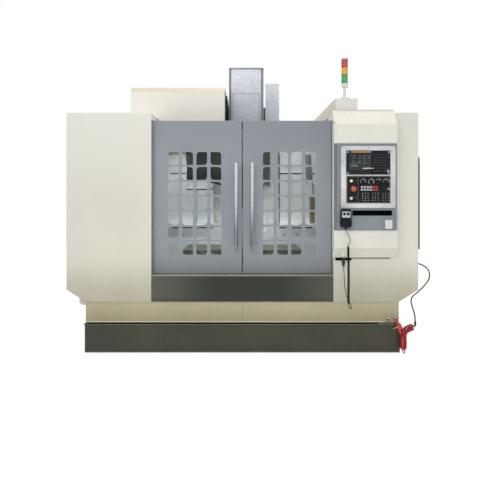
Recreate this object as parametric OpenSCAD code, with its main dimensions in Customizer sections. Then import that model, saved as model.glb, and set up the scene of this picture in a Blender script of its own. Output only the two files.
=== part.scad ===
// Vertical machining centre with full guarding, sliding front doors,
// a disc tool magazine with a swing arm and a fixed control pendant.
// Millimetres, +X right, +Y back, +Z up, origin on the floor at the middle.

/* [Guarding] */
// Overall width of the sheet-metal guarding
guard_w = 3204; // [3180:4:3300]
// Height of the side cabinets above the floor
guard_h = 2190; // [2160:5:2260]
// Front face of the side cabinets
front_y = -1160; // [-1180:1:-1158]
// Rear face of the side cabinets
guard_back_y = 400; // [380:5:480]
// Width of each side cabinet's front plate
cab_w = 772; // [760:1:785]
// Width of the slanted lower corner of a side cabinet
chamfer_w = 172; // [120:1:180]
// Height of the slanted lower corner of a side cabinet
chamfer_h = 108; // [80:1:140]
// Thickness of the guarding's sheet
sheet_t = 4; // [2.5:0.5:5]
// Top of the base apron, where the cabinets and the sill stand
apron_top = 470; // [460:1:480]
// Bottom of the base apron
apron_bot = 276; // [272:1:290]
// How far the apron's front stands behind the cabinets' front
apron_back = 10; // [4:1:14]
// Height of the coolant tank
tank_h = 266; // [240:1:268]
// Depth of the coolant tank
tank_d = 560; // [480:5:560]
// Projecting rim of the coolant tank
tank_rim = 10; // [4:1:14]
// Distance between the cabinet side and the inner wall
wall_gap = 102; // [95:1:120]
// Width of the window frame on the right side
side_win_w = 900; // [600:10:1000]

/* [Doors] */
// Front face of the door leaves
door_y = -1070; // [-1075:1:-1066]
// Thickness of a door leaf
door_t = 40; // [34:1:42]
// Bottom edge of the door leaves
door_bot = 717; // [712:1:722]
// Top edge of the door leaves
door_top = 2129; // [2100:1:2140]
// How far a leaf reaches behind the cabinet's front plate
door_lap = 20; // [10:1:24]
// Gap between the two leaves
door_gap = 4; // [2:0.5:8]
// Thickness of the leaf's skin
door_skin = 3; // [2:0.5:4]
// Window opening width
hole_w = 102; // [80:1:110]
// Window opening height
hole_h = 123; // [100:1:126]
// Spacing of the openings across the leaf
hole_px = 131; // [124:1:132]
// Spacing of the openings up the leaf
hole_pz = 138.5; // [134:0.5:139]
// Columns of openings in a leaf
hole_cols = 4; // [2:1:4]
// Rows of openings in a leaf
hole_rows = 7; // [4:1:7]
// Distance of the first opening from the middle of the machine
hole_x0 = 190; // [180:1:200]
// How much further from the middle the left door's openings stand
hole_shift = 4; // [0:1:8]
// Top edge of the highest opening
hole_top = 1841; // [1830:1:1860]
// Small corner radius of an opening
hole_r = 6; // [4:1:12]
// Large corner radius of an opening
hole_rr = 32; // [16:1:34]
// Thickness of the window pane
pane_t = 6; // [4:0.5:8]
// Diameter of a handle bar
handle_d = 30; // [20:1:32]
// Stand-off of a handle bar from the leaf
handle_off = 60; // [50:1:64]
// Lower end of the handle bars
handle_bot = 940; // [900:5:1000]
// Upper end of the handle bars
handle_top = 1735; // [1600:5:1800]

/* [Bed, saddle and table] */
// Middle of the bed, the column and the spindle, from the middle of the guarding
spindle_x = 40; // [30:1:50]
// Spindle axis, also the table's middle at rest
spindle_y = -330; // [-336:1:-330]
// Height of the table's top face
table_z = 885; // [884:1:900]
// Length of the table
table_l = 1200; // [1100:10:1200]
// Width of the table
table_w = 600; // [540:10:600]
// Thickness of the table
table_t = 90; // [80:1:92]
// Spacing of the T-slots
slot_pitch = 100; // [80:5:110]
// Width of a T-slot's neck
slot_w = 18; // [12:1:22]
// Half width of the bed
bed_hw = 430; // [425:1:450]
// Underside of the bed casting above the floor
bed_bot = 60; // [45:1:70]
// Top face of the bed casting
bed_top = 555; // [550:1:556]
// Half length of the saddle
saddle_hl = 780; // [740:5:800]
// Half width of the saddle
saddle_hw = 230; // [215:1:230]
// Top face of the saddle
saddle_top = 730; // [724:1:731]
// Underside of the saddle
saddle_bot = 610; // [608:1:614]
// Width of the linear rails
rail_w = 35; // [25:1:40]
// Rail pitch of the Y axis, half
y_rail_hx = 300; // [280:1:305]
// Rail pitch of the X axis, half
x_rail_hy = 150; // [130:1:155]
// Running clearance of rails, covers and sliding doors
run_gap = 0.3; // [0.3:0.05:0.5]

/* [Column and head] */
// Front face of the column
col_y = 335; // [334:1:345]
// Depth of the column
col_d = 620; // [580:5:640]
// Half width of the column's upper part
col_hw = 330; // [325:1:345]
// Top of the column
col_top = 2480; // [2470:5:2600]
// Rail pitch of the Z axis, half
z_rail_hx = 230; // [225:1:240]
// Height of the spindle nose at the top of its travel
nose_z = 1650; // [1650:1:1680]
// Half width of the head casting
head_hw = 140; // [125:1:150]
// Front face of the head casting
head_y = -455; // [-462:1:-450]
// Diameter of the spindle nose
nose_d = 150; // [130:2:160]
// Top of the head cover
cover_top = 2765; // [2740:1:2800]
// Half width of the head cover's front box
cover_hw = 167.5; // [165:0.5:172]
// Half width of the head cover's rear box
cover_hw2 = 190; // [186:1:192]
// Bottom edge of the head cover
cover_bot = 2010; // [1990:1:2040]

/* [Tool changer] */
// Radius of the pot circle
pot_pr = 325; // [322:1:328]
// Number of pots in the magazine
pot_n = 24; // [16:1:24]
// Outer diameter of a pot
pot_d = 70; // [60:1:76]
// Length of a pot
pot_l = 100; // [90:1:104]
// Height of the magazine's axis above the spindle nose
mag_up = 470; // [470:1:480]
// Reach of the tool arm, from its axis to a gripper's middle
arm_r = 275; // [270:1:280]
// Thickness of the tool arm
arm_t = 50; // [40:1:56]
// Diameter of the arm shaft
arm_d = 70; // [60:1:76]
// Top of the magazine cover
mag_top = 2507; // [2500:1:2560]

/* [Pendant] */
// Left edge of the pendant housing
pend_x = 820; // [815:1:825]
// Width of the pendant housing
pend_w = 560; // [555:1:575]
// Front face of the pendant housing
pend_y = -1275; // [-1285:1:-1265]
// Top edge of the pendant's front face
pend_top = 2077; // [2060:1:2090]
// Bottom edge of the pendant's front face
pend_bot = 968; // [950:1:980]
// Top edge of the grey front panel
panel_top = 1902; // [1890:1:1910]
// Bottom edge of the grey front panel
panel_bot = 1125; // [1110:1:1130]
// Width of the display and key units
unit_w = 400; // [380:5:420]
// Height of the display unit
disp_h = 210; // [200:1:215]
// Height of the operator panel
oper_h = 243; // [230:1:248]
// Diameter of the emergency stop's head
estop_d = 44; // [36:1:50]
// Diameter of the rotary switches
knob_d = 40; // [30:1:44]
// Diameter of the handwheel's dial
dial_d = 73; // [60:1:78]

/* [Electrical cabinet] */
// Width of the electrical cabinet
elec_w = 1200; // [900:10:1300]
// Depth of the electrical cabinet
elec_d = 380; // [300:5:420]
// Bottom of the electrical cabinet
elec_bot = 500; // [450:5:560]
// Height of the electrical cabinet
elec_h = 1680; // [1400:10:1750]

/* [Hidden] */
gw = guard_w / 2;
cab_in = gw - cab_w;
wall_x = gw - wall_gap;
apron_hw = gw - chamfer_w - 2;
apron_y = front_y + apron_back;
sheet3 = 3;
rail_h = 30;
truck_h = 50;
truck_l = 100;
y_travel = 300;
x_travel = 550;
z_travel = 600;
door_out = cab_in + door_lap;
hang_y = door_y + door_t + run_gap;
rail_back_y = hang_y + 24;
pit_y = front_y + 15;
yc_n = 3;
yc_l = 230;
yc_fix = pit_y + yc_l / 2;
yc_sad = spindle_y - saddle_hw - yc_l / 2;
yc_step = 3 + run_gap;
yc_z = saddle_bot - 4 * yc_step - 4;
yc_hw = y_rail_hx + 50;
xc_l = 280;
xc_mid = 450;
xc_z = saddle_top + 36;
xc_hw = saddle_hw - 6;
table_bot = table_z - table_t;
carr_y = col_y - 100;
carr_back = col_y - 47;
carr_bot = nose_z - 90;
carr_top = nose_z + 650;
zc_hw = z_rail_hx - 55;
zc_gap = carr_back + run_gap;
low_wall_y = zc_gap + 3 + run_gap;
ledge_z = 1112;
up_wall_y = 97;
low_wall_top = carr_bot - z_travel + 35;
mag_y = spindle_y;
mag_z = nose_z + mag_up;
hinge_x = spindle_x - 2 * arm_r + 40;
hinge_z = mag_z - pot_pr - 40;
arm_x = spindle_x - arm_r;
arm_top = nose_z - 10;
mag_x0 = -1097;
mag_x1 = arm_x + 63;
mag_y0 = -770;
mag_y1 = 200;
mag_low = 1900;
pan_z = bed_top - 55;
wall_bot = pan_z + 90;
tank_y = front_y - 5;
race_x = cab_in + 19;
motor_top = cover_top - 105;
motor_mid = carr_top + (motor_top - carr_top) * 0.72;
pend_x1 = pend_x + pend_w;
bez_x0 = pend_x + 56;
bez_x1 = pend_x1 - 20;
bez_z0 = 1327;
bez_z1 = 1876;
unit_x = pend_x + 103;
disp_z = 1624;
oper_z = 1368;
panel_t = 5;
panel_y = pend_y - panel_t;
bez_t = 6;
unit_y = panel_y - bez_t;
face_y = unit_y - 3;
knob_z = oper_z + oper_h - 50;
stop_x = unit_x + 62;
stop_z = oper_z + 128;
btn_x = unit_x + 42;
btn_d = 26;
btn_zs = [oper_z + 44, oper_z + 198];
mpg_x = 912;
mpg_z0 = 1151;
mpg_h = 166;
mpg_y = panel_y - 22;
mpg_t = 36;
dial_z = mpg_z0 + 50;
mid_x = spindle_x;
elec_y0 = col_y + col_d;
elec_y1 = elec_y0 + elec_d;
elec_x0 = mid_x - elec_w / 2;
elec_x1 = mid_x + elec_w / 2;
coil_pts = [
    [1446, -1202, 32], [1450, -1202, 70], [1451, -1202, 110], [1449, -1202, 150],
    [1450, -1202, 185], [1463, -1202, 212], [1488, -1202, 230], [1516, -1202, 243],
    [1545, -1202, 252], [1572, -1202, 257]
];
air_pts = [
    [1560, -1202, 262], [1561, -1202, 292], [1561, -1200, 322], [1558, -1198, 352],
    [1552, -1195, 382], [1544, -1190, 412], [1537, -1182, 440], [1533, -1172, 470],
    [1538, -1160, 498], [1560, -1147, 522], [1598, -1132, 544], [1642, -1114, 576],
    [1686, -1096, 612], [1722, -1078, 648], [1744, -1054, 686], [1750, -1024, 722],
    [1742, -990, 750], [1722, -958, 770], [1696, -930, 782], [1666, -904, 788],
    [1640, -884, 790], [1622, -884, 790]
];
lead_a = [
    [912, -1320, 1140], [916, -1321, 1120], [926, -1322, 1098], [940, -1322, 1076],
    [950, -1320, 1056], [951, -1318, 1036], [944, -1315, 1018], [937, -1312, 1006],
    [934, -1310, 996]
];
lead_b = [
    [940, -1300, 466], [942, -1298, 454], [948, -1294, 442], [958, -1288, 433],
    [968, -1281, 430], [972, -1274, 438], [966, -1268, 456], [954, -1264, 482],
    [940, -1260, 514], [928, -1258, 550], [919, -1256, 590], [914, -1254, 634],
    [912, -1250, 680], [912, -1243, 710], [913, -1230, 738], [914, -1214, 764],
    [914, -1202, 784], [914, -1196, 800]
];
curl_pts = [
    [934, -1310, 996], [935, -1309, 930], [937, -1308, 860], [938, -1307, 790],
    [939, -1306, 720], [939, -1305, 650], [938, -1303, 590], [938, -1302, 530],
    [939, -1301, 495], [940, -1300, 466]
];

// Plain block between two corners
module box(x0, x1, y0, y1, z0, z1) {
    translate([x0, y0, z0]) cube([x1 - x0, y1 - y0, z1 - z0]);
}

// Profile in X and Z, drawn through from y0 to y1
module xz(y0, y1) {
    translate([0, y1, 0]) rotate([90, 0, 0]) linear_extrude(y1 - y0) children();
}

// Profile in Y and Z, drawn through from x0 to x1
module yz(x0, x1) {
    translate([x0, 0, 0]) rotate([90, 0, 90]) linear_extrude(x1 - x0) children();
}

// Profile in X and Y, drawn up from z0 to z1
module xy(z0, z1) {
    translate([0, 0, z0]) linear_extrude(z1 - z0) children();
}

// Round bar along X, Y or Z
module bar_x(x0, x1, y, z, d, fn = 40) {
    translate([x0, y, z]) rotate([0, 90, 0]) cylinder(h = x1 - x0, d = d, $fn = fn);
}
module bar_y(y0, y1, x, z, d, fn = 40) {
    translate([x, y0, z]) rotate([-90, 0, 0]) cylinder(h = y1 - y0, d = d, $fn = fn);
}
module bar_z(z0, z1, x, y, d, fn = 40) {
    translate([x, y, z0]) cylinder(h = z1 - z0, d = d, $fn = fn);
}

// Quarter arc of points round a centre
function arc(cx, cy, r, a0, n = 5) =
    [for (i = [0:n]) [cx + r * cos(a0 + 90 * i / n), cy + r * sin(a0 + 90 * i / n)]];

// Rectangle with its own radius at each corner, from the upper right round
function rounded(x0, z0, x1, z1, r) = concat(
    arc(x1 - r[0], z1 - r[0], r[0], 0), arc(x0 + r[1], z1 - r[1], r[1], 90),
    arc(x0 + r[2], z0 + r[2], r[2], 180), arc(x1 - r[3], z0 + r[3], r[3], 270));
function round4(x0, z0, x1, z1, r) = rounded(x0, z0, x1, z1, [r, r, r, r]);

// Tube swept along a row of points
function unit(v) = v / norm(v);
function dir_at(p, i) = unit(p[min(i + 1, len(p) - 1)] - p[max(i - 1, 0)]);
function side_of(d) = unit(cross(d, abs(d[1]) > 0.9 ? [1, 0, 0] : [0, 1, 0]));
function ring_at(c, d, r, n) =
    let (u = side_of(d), w = cross(d, u))
    [for (k = [0:n - 1]) c + r * (cos(360 * k / n) * u + sin(360 * k / n) * w)];
module sweep(p, d, n = 8) {
    pts = [for (i = [0:len(p) - 1]) each ring_at(p[i], dir_at(p, i), d / 2, n)];
    last = (len(p) - 1) * n;
    faces = concat(
        [[for (k = [n - 1:-1:0]) k]],
        [for (i = [0:len(p) - 2]) for (k = [0:n - 1])
            [i * n + k, i * n + (k + 1) % n, (i + 1) * n + (k + 1) % n, (i + 1) * n + k]],
        [[for (k = [0:n - 1]) last + k]]);
    polyhedron(points = pts, faces = [for (f = faces) [for (j = [len(f) - 1:-1:0]) f[j]]]);
}

// Cast bed on its levelling feet, with the Y rails and the Y motor
module bed() {
    by0 = pit_y + 250;
    color([0.62, 0.64, 0.60]) {
        difference() {
            yz(mid_x - bed_hw, mid_x + bed_hw)
                polygon([[tank_y + tank_d + 12, bed_bot], [tank_y + tank_d + 12, tank_h + 20],
                    [by0, tank_h + 70], [by0, bed_top], [col_y + col_d, bed_top],
                    [col_y + col_d, bed_bot]]);
            for (s = [-1, 1]) for (y = [-430, 0, 430])
                translate([mid_x + s * (bed_hw + 10), y, 210])
                    rotate([0, 90, 0]) cylinder(h = 120, d = 150, center = true, $fn = 40);
        }
        for (s = [-1, 1])
            box(mid_x + s * y_rail_hx - rail_w / 2, mid_x + s * y_rail_hx + rail_w / 2,
                spindle_y - 500, spindle_y + 500, bed_top, bed_top + rail_h);
    }
    color([0.30, 0.31, 0.33])
        for (s = [-1, 1]) for (y = [tank_y + tank_d + 92, 180, col_y + col_d - 90]) {
            bar_z(0, 22, mid_x + s * (bed_hw - 70), y, 130);
            bar_z(22, bed_bot, mid_x + s * (bed_hw - 70), y, 42);
        }
}

// Column casting with its arch, the Z rails and the Z motor
module column() {
    color([0.62, 0.64, 0.60]) {
        difference() {
            xz(col_y, col_y + col_d)
                polygon([[mid_x - bed_hw, bed_top], [mid_x - bed_hw, 1000],
                    [mid_x - col_hw, 1450], [mid_x - col_hw, col_top],
                    [mid_x + col_hw, col_top], [mid_x + col_hw, 1450],
                    [mid_x + bed_hw, 1000], [mid_x + bed_hw, bed_top]]);
            box(mid_x - yc_hw - 14, mid_x + yc_hw + 14, col_y - 1, col_y + col_d + 1,
                bed_top - 1, saddle_bot + 50);
        }
        for (s = [-1, 1])
            box(mid_x + s * z_rail_hx - rail_w / 2, mid_x + s * z_rail_hx + rail_w / 2,
                col_y - 40, col_y, carr_bot - z_travel + 40, carr_top);
    }
    color([0.22, 0.23, 0.25]) {
        box(mid_x - 80, mid_x + 80, col_y + 40, col_y + 200, col_top, col_top + 40);
        bar_z(col_top + 40, col_top + 190, mid_x, col_y + 120, 130);
    }
}

// Coolant tank under the front of the guarding
module coolant_tank() {
    hw = apron_hw + 5;
    color([0.27, 0.27, 0.22]) {
        difference() {
            box(-hw, hw, tank_y, tank_y + tank_d, 8, tank_h - 8);
            box(-hw + 40, hw - 40, tank_y + 180, tank_y + tank_d - 40, 40, tank_h);
        }
        box(-hw - tank_rim, hw + tank_rim, tank_y - 4, tank_y + 30, tank_h - 8, tank_h);
        for (s = [-1, 1])
            box(s > 0 ? hw - 30 : -hw - tank_rim, s > 0 ? hw + tank_rim : -hw + 30,
                tank_y + 30, tank_y + tank_d, tank_h - 8, tank_h);
        for (x = [-hw + 120, -hw * 0.35, hw * 0.35, hw - 120])
            for (y = [tank_y + 90, tank_y + tank_d - 90])
                bar_z(0, 8, x, y, 70);
    }
    color([0.55, 0.57, 0.56]) {
        box(-900, -640, tank_y + 230, tank_y + 440, 40, 70);
        bar_z(70, tank_h + 4, -770, tank_y + 335, 110);
    }
}

// Outline of a side cabinet's front, inset by a distance
function cab_shape(i) = [
    [-cab_in - i, apron_top + i], [-gw + chamfer_w + i * 0.6, apron_top + i],
    [-gw + i, apron_top + chamfer_h + i * 0.6], [-gw + i, guard_h - i],
    [-cab_in - i, guard_h - i]
];

// Side cabinet: front, folded outer side, roof and rear, open to the inside
module side_cabinet() {
    t = sheet_t;
    xz(front_y, front_y + t) polygon(cab_shape(0));
    xz(guard_back_y - t, guard_back_y) polygon(cab_shape(0));
    difference() {
        xz(front_y + t, guard_back_y - t) polygon(cab_shape(0));
        xz(front_y, guard_back_y) polygon(cab_shape(t));
        box(-cab_in - t - 1, -cab_in + 1, door_y - 4, guard_back_y - t, apron_top - 1, door_top + 6);
        box(-cab_in - t - 1, -cab_in + 1, -840, guard_back_y - t - 40, door_top, guard_h - t);
    }
}
module left_cabinet() {
    color([0.87, 0.86, 0.80]) side_cabinet();
}
module right_cabinet() {
    color([0.87, 0.86, 0.80]) difference() {
        mirror([1, 0, 0]) side_cabinet();
        box(gw - sheet_t - 1, gw + 1, -900, -900 + side_win_w, 980, 1710);
    }
    color([0.25, 0.26, 0.28]) {
        difference() {
            yz(gw, gw + 15)
                polygon(round4(-930, 947, -870 + side_win_w, 1744, 40));
            yz(gw - 1, gw + 16)
                polygon(round4(-890, 987, -910 + side_win_w, 1704, 30));
        }
    }
    color([0.62, 0.70, 0.70, 0.5])
        box(gw + 3, gw + 9, -890, -910 + side_win_w, 987, 1704);
    color([0.78, 0.62, 0.30]) {
        bar_x(gw, gw + 12, -884, 790, 26);
        bar_x(gw + 12, gw + 20, -884, 790, 16);
    }
}

// Apron under the cabinets and the sill, with the two bolts at the right
module front_apron() {
    color([0.76, 0.73, 0.60]) {
        difference() {
            box(-apron_hw, apron_hw, apron_y, guard_back_y, apron_bot, apron_top);
            box(-apron_hw + sheet_t, apron_hw - sheet_t, apron_y + sheet_t,
                guard_back_y + 1, apron_bot - 1, apron_top + 1);
        }
        for (s = [-1, 1])
            box(s > 0 ? apron_hw - 40 : -apron_hw + sheet_t,
                s > 0 ? apron_hw - sheet_t : -apron_hw + 40,
                apron_y + sheet_t, guard_back_y, apron_top - sheet_t, apron_top);
    }
    color([0.08, 0.08, 0.08])
        box(-apron_hw + 30, apron_hw - 30, apron_y + sheet_t, apron_y + sheet_t + 6,
            tank_h + run_gap, apron_bot + 20);
    color([0.42, 0.40, 0.36])
        for (x = [apron_hw - 103, apron_hw - 38]) {
            bar_y(apron_y - 4, apron_y, x, 317, 24, 6);
            bar_y(apron_y - 58, apron_y - 4, x, 317, 10);
        }
}

// Sill panel, jamb strips, upper hanging beam and lower guide of the doors
module door_frame() {
    t = sheet_t;
    hw = cab_in - run_gap;
    shelf = door_bot - 6;
    color([0.30, 0.31, 0.28]) {
        difference() {
            yz(-hw, hw) polygon([[front_y, apron_top], [front_y, shelf],
                [rail_back_y, shelf], [rail_back_y, saddle_bot + 10],
                [rail_back_y - t, saddle_bot + 10], [rail_back_y - t, shelf - t],
                [front_y + t, shelf - t], [front_y + t, apron_top + t],
                [front_y + 12, apron_top + t], [front_y + 12, apron_top]]);
        }
        for (s = [-1, 1])
            box(s > 0 ? hw : -wall_x, s > 0 ? wall_x : -hw, door_y - 2, rail_back_y,
                shelf - t, shelf);
    }
    color([0.55, 0.57, 0.58]) {
        box(-wall_x, wall_x, door_y + 12, door_y + 28, shelf, door_bot - run_gap);
        box(-wall_x, wall_x, hang_y, rail_back_y, door_top - 75, door_top - 15);
    }
}

// Stainless inner walls, sloping pans and the fixed front cover of the Y rails
module inner_walls() {
    t = sheet3;
    bx0 = mid_x - bed_hw - run_gap;
    bx1 = mid_x + bed_hw + run_gap;
    ox0 = mid_x - col_hw - 40;
    ox1 = mid_x + col_hw + 55;
    color([0.74, 0.78, 0.76]) {
        for (s = [-1, 1]) {
            x0 = s > 0 ? wall_x : -wall_x - t;
            box(x0, x0 + t, rail_back_y, low_wall_y + t, wall_bot - t, guard_h - sheet_t);
        }
        box(-wall_x, -cab_in - 30, rail_back_y, rail_back_y + t, wall_bot, guard_h - sheet_t);
        box(cab_in + 30, wall_x, rail_back_y, rail_back_y + t, wall_bot, guard_h - sheet_t);
        xz(rail_back_y, low_wall_y)
            polygon([[-wall_x, wall_bot], [-wall_x, wall_bot - t], [bx0, pan_z - t], [bx0, pan_z]]);
        xz(rail_back_y, low_wall_y)
            polygon([[wall_x, wall_bot], [wall_x, wall_bot - t], [bx1, pan_z - t], [bx1, pan_z]]);
        difference() {
            xz(low_wall_y, low_wall_y + t)
                polygon([[-wall_x, ledge_z], [-wall_x, wall_bot - t], [bx0, pan_z - t],
                    [bx1, pan_z - t], [wall_x, wall_bot - t], [wall_x, ledge_z]]);
            box(mid_x - z_rail_hx - 60, mid_x + z_rail_hx + 60, low_wall_y - 1,
                low_wall_y + t + 1, low_wall_top, ledge_z + 1);
            box(mid_x - yc_hw - 14, mid_x + yc_hw + 14, low_wall_y - 1,
                low_wall_y + t + 1, pan_z - t - 1, saddle_bot + 50);
            box(bx0, bx1, low_wall_y - 1, low_wall_y + t + 1, pan_z - t - 1, bed_top);
        }
        difference() {
            box(-wall_x, ox0, up_wall_y, up_wall_y + t, ledge_z, guard_h - sheet_t);
            box(-cab_in - 3, ox0 + 1, up_wall_y - 1, up_wall_y + t + 1, mag_low, guard_h);
            box(-wall_x - 1, ox0 + 1, up_wall_y - 1, up_wall_y + 1, 1687, 1695);
            box(-530, -522, up_wall_y - 1, up_wall_y + 1, ledge_z - 1, 1687);
        }
        difference() {
            box(ox1, wall_x, up_wall_y, up_wall_y + t, ledge_z, guard_h - sheet_t);
            box(ox1 - 1, wall_x + 1, up_wall_y - 1, up_wall_y + 1, 1687, 1695);
        }
        box(-wall_x, ox0, up_wall_y, low_wall_y, ledge_z - t, ledge_z);
        box(ox1, wall_x, up_wall_y, low_wall_y, ledge_z - t, ledge_z);
        box(ox0 - t, ox0, up_wall_y + t, low_wall_y, ledge_z, mag_low);
        box(ox1, ox1 + t, up_wall_y + t, low_wall_y, ledge_z, guard_h - sheet_t);
        box(-wall_x, ox0, up_wall_y - 22, up_wall_y, ledge_z - t, ledge_z);
        box(ox1, wall_x, up_wall_y - 22, up_wall_y, ledge_z - t, ledge_z);
    }
    color([0.66, 0.69, 0.69]) {
        box(-cab_in + run_gap, cab_in - run_gap, front_y + 14 + run_gap, door_y, bed_top - t, bed_top);
        box(-apron_hw + sheet_t, apron_hw - sheet_t, door_y, pit_y + 250, bed_top - t, bed_top);
        y_tray(yc_fix, 0, bed_top);
    }
}

// One leaf of the telescopic Y cover: top and two flanges, stepped up by its number
module y_tray(c, k, bottom) {
    z = yc_z + k * yc_step;
    w = yc_hw - (3 - k) * (sheet3 + run_gap);
    box(mid_x - w, mid_x + w, c - yc_l / 2, c + yc_l / 2, z, z + sheet3);
    for (s = [-1, 1])
        box(s > 0 ? mid_x + w - sheet3 : mid_x - w, s > 0 ? mid_x + w : mid_x - w + sheet3,
            c - yc_l / 2, c + yc_l / 2, bottom, z);
}
module y_mid_cover_a() {
    color([0.70, 0.72, 0.73]) y_tray(yc_fix + (yc_sad - yc_fix) / yc_n, 1, bed_top + run_gap);
}
module y_mid_cover_b() {
    color([0.70, 0.72, 0.73]) y_tray(yc_fix + 2 * (yc_sad - yc_fix) / yc_n, 2, bed_top + run_gap);
}
// Covers fixed to the saddle: the front leaf and the long rear tray
module y_covers() {
    color([0.70, 0.72, 0.73]) {
        y_tray(yc_sad, 3, bed_top + run_gap);
        w = yc_hw;
        sy = spindle_y - saddle_hw;
        z3 = yc_z + 3 * yc_step;
        box(mid_x - w, mid_x + w, sy - sheet3, sy, z3 + sheet3, saddle_bot + 40);
        ry = spindle_y + saddle_hw;
        rl = col_y - ry + y_travel + 20;
        box(mid_x - w, mid_x + w, ry, ry + rl, saddle_bot + 24, saddle_bot + 27);
        for (s = [-1, 1])
            box(s > 0 ? mid_x + w - sheet3 : mid_x - w, s > 0 ? mid_x + w : mid_x - w + sheet3,
                ry, ry + rl, bed_top + run_gap, saddle_bot + 24);
    }
}

// Saddle casting with X rails, the Y trucks and the X motor
module saddle() {
    color([0.62, 0.64, 0.60]) {
        difference() {
            box(mid_x - saddle_hl, mid_x + saddle_hl, spindle_y - saddle_hw,
                spindle_y + saddle_hw, saddle_bot, saddle_top);
            for (s = [-1, 1])
                box(mid_x + s * 610 - 130, mid_x + s * 610 + 130, spindle_y - saddle_hw + 40,
                    spindle_y + saddle_hw - 40, saddle_bot - 1, saddle_bot + 70);
        }
        for (s = [-1, 1])
            box(mid_x - saddle_hl, mid_x + saddle_hl, spindle_y + s * x_rail_hy - rail_w / 2,
                spindle_y + s * x_rail_hy + rail_w / 2, saddle_top, saddle_top + rail_h);
        for (s = [-1, 1]) for (q = [-1, 1])
            difference() {
                box(mid_x + s * y_rail_hx - 45, mid_x + s * y_rail_hx + 45,
                    spindle_y + q * 130 - truck_l / 2, spindle_y + q * 130 + truck_l / 2,
                    bed_top + 6, saddle_bot);
                box(mid_x + s * y_rail_hx - rail_w / 2 - run_gap,
                    mid_x + s * y_rail_hx + rail_w / 2 + run_gap,
                    spindle_y - saddle_hw, spindle_y + saddle_hw,
                    bed_top, bed_top + rail_h + run_gap);
            }
    }
    color([0.16, 0.17, 0.18]) {
        box(mid_x + saddle_hl, mid_x + saddle_hl + 40, spindle_y - 60, spindle_y + 60,
            saddle_bot, saddle_top - 4);
        bar_x(mid_x + saddle_hl + 40, mid_x + saddle_hl + 190, spindle_y, saddle_bot + 58, 110);
    }
}

// Work table with T-slots and the X trucks below
module table() {
    color([0.56, 0.58, 0.58]) difference() {
        union() {
            box(-table_l / 2, table_l / 2, spindle_y - table_w / 2, spindle_y + table_w / 2,
                table_bot, table_z);
            for (s = [-1, 1]) for (q = [-1, 1])
                box(q * 160 - truck_l / 2, q * 160 + truck_l / 2,
                    spindle_y + s * x_rail_hy - 42, spindle_y + s * x_rail_hy + 42,
                    saddle_top + 5, table_bot);
        }
        for (s = [-1, 1])
            box(-table_l, table_l, spindle_y + s * x_rail_hy - rail_w / 2 - run_gap,
                spindle_y + s * x_rail_hy + rail_w / 2 + run_gap,
                saddle_top, saddle_top + rail_h + run_gap);
        for (k = [-2:2]) {
            y = spindle_y + k * slot_pitch;
            box(-table_l, table_l, y - slot_w / 2, y + slot_w / 2, table_z - 34, table_z + 1);
            box(-table_l, table_l, y - slot_w * 0.84, y + slot_w * 0.84, table_z - 34, table_z - 20);
        }
        for (s = [-1, 1])
            box(-table_l, table_l, spindle_y + s * table_w / 2 - 14, spindle_y + s * table_w / 2 + 14,
                table_bot - 1, table_bot + 34);
    }
}

// One tray of the X cover, hw wide and top at z
module x_tray(x0, x1, hw, z) {
    box(x0, x1, spindle_y - hw, spindle_y + hw, z, z + sheet3);
    for (s = [-1, 1])
        box(x0, x1, s > 0 ? spindle_y + hw - sheet3 : spindle_y - hw,
            s > 0 ? spindle_y + hw : spindle_y - hw + sheet3, saddle_top + run_gap, z);
}
module x_covers() {
    hw = xc_hw + sheet3 + run_gap;
    z = xc_z + sheet3 + run_gap;
    color([0.72, 0.74, 0.75]) for (s = [-1, 1]) {
        x0 = s > 0 ? table_l / 2 + 4 : -table_l / 2 - xc_l;
        x1 = s > 0 ? table_l / 2 + xc_l : -table_l / 2 - 4;
        x_tray(x0, x1, hw, z);
        box(s > 0 ? table_l / 2 : -table_l / 2 - 4, s > 0 ? table_l / 2 + 4 : -table_l / 2,
            spindle_y - hw, spindle_y + hw, z, table_z - 40);
    }
}
module x_mid_covers() {
    c = saddle_hl + 50;
    color([0.70, 0.72, 0.73]) for (s = [-1, 1])
        x_tray(mid_x + s * c - xc_mid / 2, mid_x + s * c + xc_mid / 2, xc_hw, xc_z);
}

// Leaf of the telescopic Z cover, half-way between the head and the lower wall
module z_mid_cover() {
    color([0.74, 0.78, 0.76])
        box(mid_x - zc_hw, mid_x + zc_hw, zc_gap, zc_gap + sheet3,
            low_wall_top - 15, carr_bot - 260);
}

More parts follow.
